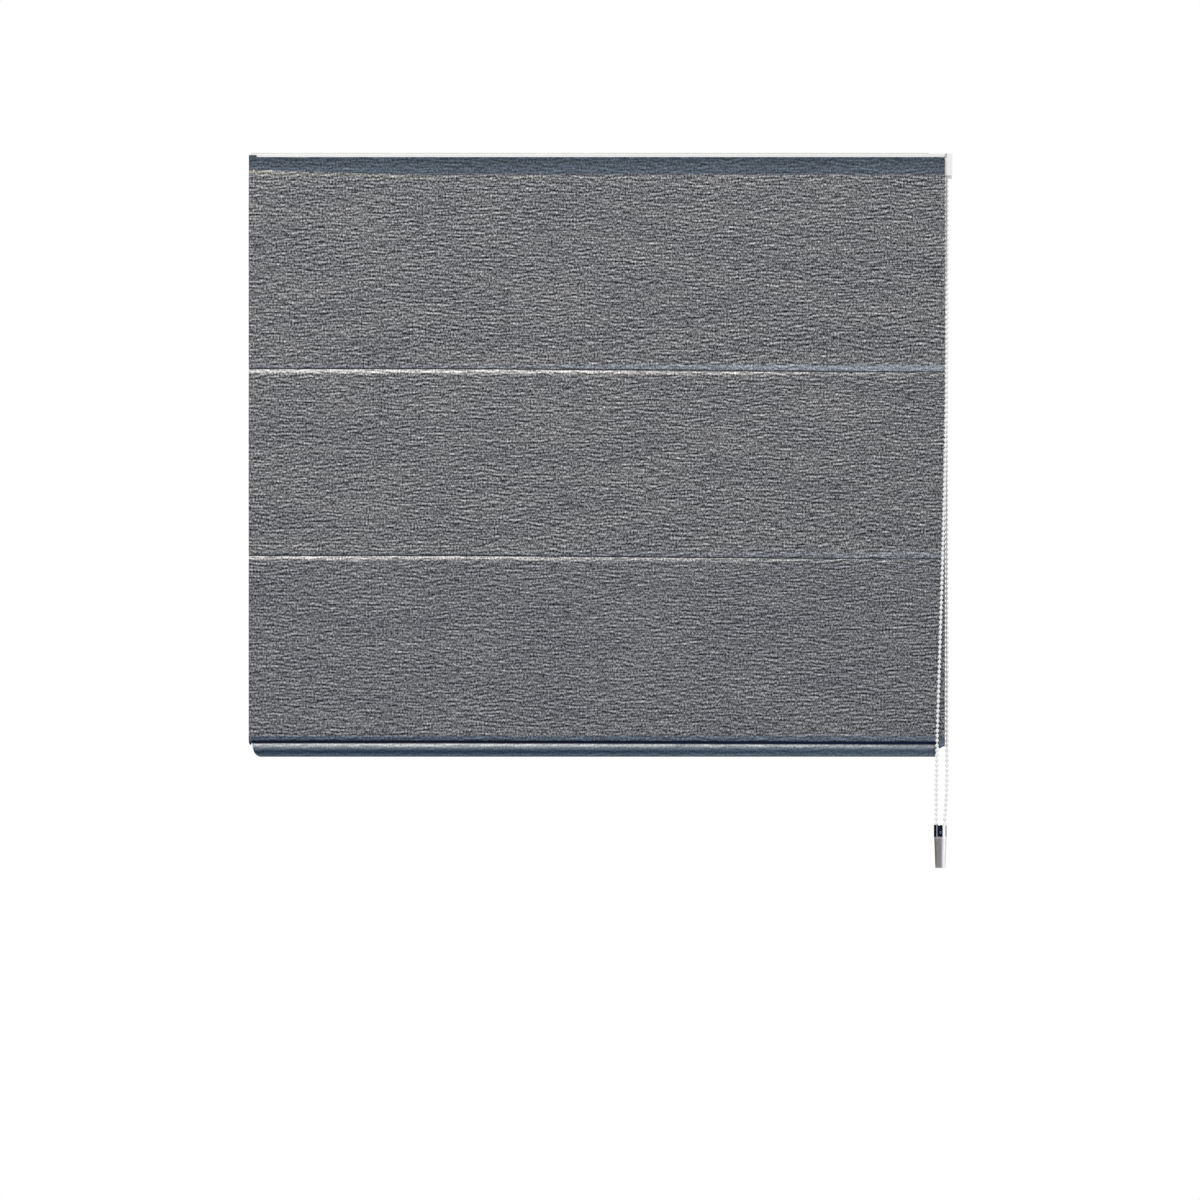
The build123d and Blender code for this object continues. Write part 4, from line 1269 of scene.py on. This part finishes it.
def lift_cord_mesh(name, node):
    """A tight cord in the place of its CAD node."""
    low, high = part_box(node)
    middle = (low + high) / 2
    points = []
    for ring in range(cord_rings):
        level = high[2] + (low[2] - high[2]) * ring / (cord_rings - 1)
        sway = cord_sway * noise.noise((level * 14, middle.x * 50, 0.5))
        points += round_ring(Vector((middle.x + sway, middle.y, level)), cord_radius, cord_sides)
    return new_mesh(name, points, capped_faces(cord_rings, cord_sides))


lift_cords = []
for name in ring_names:
    cord = add_piece(lift_cord_mesh(f"braided_cord_{name}", f"lift_cord_{name}"), "rail",
                     "lift_cord")
    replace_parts(cord, f"lift_cord_{name}")
    lift_cords.append(cord)
print(len(lift_cords), "lift cords")

# %% [markdown]
# ### Tape, cord and moulded finishes
#
# The tapes are the same weave as the cloth in pale polyester, only finer, with a denser selvedge
# along both edges, where the map says how far a point is from the middle. The cords are braided:
# two sets of threads wind round in opposite directions, which are two sine waves again, now on
# a slant. The white plastics differ in how glossy and how clean they are.

# %% Tape finish
tree, shader = new_finish("tape", Specular_IOR_Level=0.3, Sheen_Weight=0.15)
place = own_place(tree)
axes = axes_of(tree, place)
flat_place = add_node(tree, "CombineXYZ", X=axes[0], Y=axes[2]).outputs[0]
weave = use_effect(tree, "plain_weave", Place=flat_place, Warp_Pitch=0.5 * MM,
                   Weft_Pitch=0.4 * MM)
soiled = use_effect(tree, "mottling", Place=place, Colour=grey(0.62, 0.01),
                    Second=grey(0.48, 0.03), Clouds=14.0, Amount=0.5)
thread = mix(tree, times(tree, weave["Thread Tone"], 0.35), soiled["Colour"], grey(0.36))
from_middle = calc(tree, "ABSOLUTE", axes_of(tree, cut_place(tree))[1])
selvedge = mask(tree, from_middle, 6.2 * MM, 6.7 * MM)
dress(tree, shader, mix(tree, times(tree, selvedge, 0.4), thread, grey(0.42, 0.02)),
      between(tree, weave["Height"], 0.9, 0.75),
      relief(tree, weave["Height"], 0.12 * MM, 0.7))
print("tape finish:", len(tree.nodes), "nodes")

# %% Lift cord finish
strand_turn = 2 * math.pi / (0.9 * MM)

tree, shader = new_finish("lift_cord", Specular_IOR_Level=0.35, Sheen_Weight=0.1)
place = own_place(tree)
axes = axes_of(tree, place)
girth = calc(tree, "ADD", axes[0], axes[1])
strands = [calc(tree, "SINE", times(tree, calc(tree, way, girth, axes[2]), strand_turn))
           for way in ("ADD", "SUBTRACT")]
braid = mask(tree, calc(tree, "MAXIMUM", *strands), -0.4, 0.9)
worn = use_effect(tree, "mottling", Place=place, Colour=grey(0.66, 0.01),
                  Second=grey(0.5, 0.02), Clouds=40.0, Amount=0.5)
# Between the strands the cord is painted a darker grey, as the shade in the braid's gaps.
dress(tree, shader, mix(tree, braid, grey(0.38, 0.02), worn["Colour"]),
      between(tree, braid, 0.9, 0.65), relief(tree, braid, 0.15 * MM, 0.8))
print("lift cord finish:", len(tree.nodes), "nodes")


# %% Moulded plastics
def solid_base(tree, radius, **clouds):
    """What every solid finish starts from: its place, its clouds of colour, its worn edges."""
    place = own_place(tree)
    return (place, use_effect(tree, "mottling", Place=place, **clouds),
            use_effect(tree, "worn_edges", Place=place, Radius=radius))


def moulded(slot, colour, second, grain, roughness, **settings):
    """A moulded plastic: a slight cloudiness, a fine sparked grain and handled edges."""
    tree, shader = new_finish(slot, **settings)
    place, tone, edge = solid_base(tree, 0.35 * MM, Colour=colour, Second=second, Clouds=35.0,
                                   Amount=0.45)
    dress(tree, shader, mix(tree, times(tree, edge["Edge"], 0.25), tone["Colour"], second),
          between(tree, tone["Clouds"], *roughness),
          relief(tree, speckle(tree, place, grain, 2), 0.03 * MM, 0.35, edge["Normal"]))


moulded("white_plastic", grey(0.89), grey(0.83, 0.01), 2500.0, (0.34, 0.46))
moulded("inner_plastic", grey(0.66), grey(0.54, 0.02), 1800.0, (0.42, 0.55))
moulded("beads", grey(0.88), grey(0.80, 0.01), 900.0, (0.2, 0.32))
moulded("fibreglass", (0.62, 0.66, 0.58, 1), (0.50, 0.56, 0.46, 1), 1500.0, (0.28, 0.45))
moulded("clear_plastic", (0.90, 0.93, 0.94, 1), (0.80, 0.84, 0.85, 1), 500.0, (0.08, 0.2),
        Transmission_Weight=0.85, IOR=1.49)
print("finishes so far:", sorted(finishes))

# %% [markdown]
# ### Metal finishes
#
# The rail and brackets are powder coated: a soft gloss over a very slight orange peel, with the
# coat rubbed thin on edges, grey dust on the top faces, and a thin grey line painted as shade
# along the top of the front. The shaft and pins are zinc plated and drawn lengthways. The chain
# weight has a polished cap, which only smudges disturb, over a satin body with turned lines.

# %% Powder-coated rail
dust_and_shade_grey = (0.45, 0.47, 0.43, 1)

tree, shader = new_finish("white_metal", Coat_Weight=0.15, Coat_Roughness=0.2)
place, tone, edge = solid_base(tree, 0.5 * MM, Colour=(0.905, 0.915, 0.895, 1),
                               Second=grey(0.82, 0.01), Clouds=12.0, Amount=0.35)
paint = mix(tree, times(tree, edge["Edge"], 0.3), tone["Colour"], grey(0.62, 0.02))
facing = add_node(tree, "NewGeometry").outputs["Normal"]
# The thin grey line along the top of the front is painted shade; on the top faces the grey is
# dust.
on_edge = mask(tree, axes_of(tree, place)[2], rail_top - 1.3 * MM, rail_top - 0.7 * MM)
on_top = times(tree, mask(tree, axes_of(tree, facing)[2], 0.6, 0.95), 0.45)
dust_and_edge_shade = times(tree, calc(tree, "MAXIMUM", on_edge, on_top),
             mask(tree, speckle(tree, place, 45, 3), -0.2, 0.6))
dress(tree, shader, mix(tree, times(tree, dust_and_edge_shade, 0.85), paint, dust_and_shade_grey),
      between(tree, tone["Clouds"], 0.30, 0.42),
      relief(tree, speckle(tree, place, 420, 1), 0.05 * MM, 0.25, edge["Normal"]))
print("rail finish:", len(tree.nodes), "nodes")


# %% Bare and plated metals
def bare_metal(slot, colour, second, stretch, roughness, depth, **settings):
    """A metal with lines along the way that it was worked, and dull patches."""
    tree, shader = new_finish(slot, Metallic=1.0, **settings)
    place, tone, edge = solid_base(tree, 0.3 * MM, Colour=colour, Second=second, Clouds=60.0,
                                   Amount=0.6)
    lines = use_effect(tree, "drawn_lines", Place=place, Stretch=stretch)["Lines"]
    dress(tree, shader, mix(tree, times(tree, lines, 0.3), tone["Colour"], second),
          between(tree, total(tree, (lines, 0.5), (tone["Clouds"], 0.5)), *roughness),
          relief(tree, lines, depth, 0.3, edge["Normal"]))


bare_metal("steel", grey(0.60, 0.01), grey(0.45, 0.03), (6.0, 2500.0, 2500.0), (0.24, 0.42),
           0.02 * MM)
bare_metal("bar_aluminium", grey(0.72), grey(0.60), (4.0, 1800.0, 1800.0), (0.28, 0.44),
           0.02 * MM)
bare_metal("weight_chrome", grey(0.95), grey(0.90), (300.0, 300.0, 300.0), (0.03, 0.10),
           0.004 * MM)
bare_metal("weight_satin", (0.93, 0.91, 0.90, 1), (0.84, 0.82, 0.81, 1), (60.0, 60.0, 6000.0),
           (0.42, 0.52), 0.012 * MM)
print(len(finishes), "finishes in all")

# %% Finishes on every piece
slot_of = {part["node"]: part["material_slot"] for part in frame["record"]["subparts"]}
for name, node in frame["nodes"].items():
    for place_in_mesh in node.material_slots:
        place_in_mesh.material = finishes[slot_of[name]]
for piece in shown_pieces():
    if "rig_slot" in piece:
        piece.data.materials.clear()
        piece.data.materials.append(finishes[piece["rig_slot"]])

# %% [markdown]
# ## How much of the cloth stays when the blind is raised
#
# Raising the blind slides the bottom bar up to 58 cm. The hanging cloth can't follow that as one
# stiff sheet. Here each hanging piece and each cord only gets a mesh of its own, and the share of
# its length that it would keep is worked out. The sleeve, the tapes and the rings ride on the
# bodies that carry them.

# %% Share of each hanging piece that stays
lift_travel = next(joint for joint in frame["record"]["behaviour"]["joints"]
                   if joint["name"] == "lift")["range_m"][1]


def gather(piece, anchor, foot):
    """Gives a hanging piece its own mesh, and returns the share of its length that it keeps when
    the blind is raised.
    """
    keep = 1 - lift_travel / (anchor - foot)
    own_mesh(piece)
    return round(keep, 4)


print("cloth keeps", gather(cloth_drop, header_foot, sleeve_crease))
print("stitches keep", gather(hem_stitches, header_foot, sleeve_crease))
for cord in lift_cords:
    low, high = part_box(next(iter(cord["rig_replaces"])))
    print(cord.name, "keeps", gather(cord, high[2], low[2]))

# %% [markdown]
# ## Light and floor
#
# A large soft lamp above and in front gives the ledges their light, and the world fills the
# rest, so a colour shows about as it is written. What the camera sees behind the blind is plain
# white. Polished metal in an all-white room has nothing to reflect, so reflections alone see a
# simple room: by its bands of height and direction it is dark, brown, pale blue or bright. The
# floor is far below; it fades out towards its rim.

# %% World
fill_level = 0.73
white = (1, 1, 1, 1)

world = bpy.data.worlds.new("studio")
scene.world = world
world.use_nodes = True
tree = world.node_tree
backdrop = tree.nodes["Background"]
rays = add_node(tree, "LightPath").outputs
seen = calc(tree, "MAXIMUM", rays["Is Camera Ray"],
            calc(tree, "MAXIMUM", rays["Is Glossy Ray"], rays["Is Transmission Ray"]))
feed(tree, backdrop.inputs["Strength"], between(tree, seen, fill_level, 1.0))
axes = axes_of(tree, add_node(tree, "TexCoord").outputs["Generated"])
turn = times(tree, calc(tree, "ARCTAN2", axes[0], times(tree, axes[1], -1.0)), math.degrees(1))


def span(tree, value, low, high, soft):
    """1 between the low and the high value, with a soft end at each."""
    return times(tree, mask(tree, value, low - soft, low + soft),
                 inverse(tree, mask(tree, value, high - soft, high + soft)))


level_band = span(tree, axes[2], -0.23, 0.11, 0.02)
high_and_low = times(tree, inverse(tree, level_band), span(tree, axes[2], -0.9, 0.85, 0.08))
room = white
for band, first, last, colour in (
        (high_and_low, -140, 24, (0.048, 0.030, 0.010, 1)),
        (high_and_low, 24, 60, (0.80, 0.83, 1.05, 1)),
        (high_and_low, 64, 125, (1.5, 1.5, 1.5, 1)),
        (level_band, -190, -72, (0.006, 0.006, 0.007, 1)),
        (level_band, -65, 38, (0.006, 0.011, 0.030, 1)),
        (level_band, 95, 135, (0.24, 0.31, 0.34, 1))):
    room = mix(tree, times(tree, band, span(tree, turn, first, last, 2.0)), room, colour)
feed(tree, backdrop.inputs["Color"], mix(tree, rays["Is Glossy Ray"], white, room))
print("world:", len(tree.nodes), "nodes")

# %% Lamps
lamp_size, lamp_target = 1.8, Vector((0, 0, -0.35))
for name, place, power in (("key_lamp", Vector((-1.0, -2.6, 2.2)), 62),
                           ("back_lamp", Vector((1.4, 2.4, 1.6)), 26)):
    lamp = bpy.data.lights.new(name, "AREA")
    lamp.size = lamp_size
    lamp.energy = power
    holder = bpy.data.objects.new(name, lamp)
    holder.location = place
    holder.rotation_euler = (lamp_target - place).to_track_quat("-Z", "Y").to_euler()
    scene.collection.objects.link(holder)
    print(name, power, "W")

# %% Floor
floor_level, floor_radius = -1.4, 1.2
floor_rings, floor_sides = 24, 96

points = [point for ring in range(1, floor_rings + 1)
          for point in round_ring(Vector((0, 0, floor_level)), floor_radius * ring / floor_rings,
                                  floor_sides)]
faces = strip_faces(floor_rings, floor_sides) + [tuple(range(floor_sides))]
floor = bpy.data.objects.new("studio_floor", new_mesh("studio_floor", points, faces))
scene.collection.objects.link(floor)

floor_material = bpy.data.materials.new("studio_floor")
floor_material.use_nodes = True
tree = floor_material.node_tree
shader = tree.nodes["Principled BSDF"].inputs
shader["Roughness"].default_value = 0.8
shader["Specular IOR Level"].default_value = 0.1
place = own_place(tree)
spread = calc(tree, "LENGTH", scaled(tree, place, (1, 1, 0)), kind="VectorMath", output="Value")
feed(tree, shader["Alpha"], inverse(tree, mask(tree, spread, 0.45, 1.15)))
feed(tree, shader["Base Color"], mix(tree, speckle(tree, place, 3.0), grey(0.86), grey(0.80)))
floor.data.materials.append(floor_material)
print("floor at", floor_level, "m")
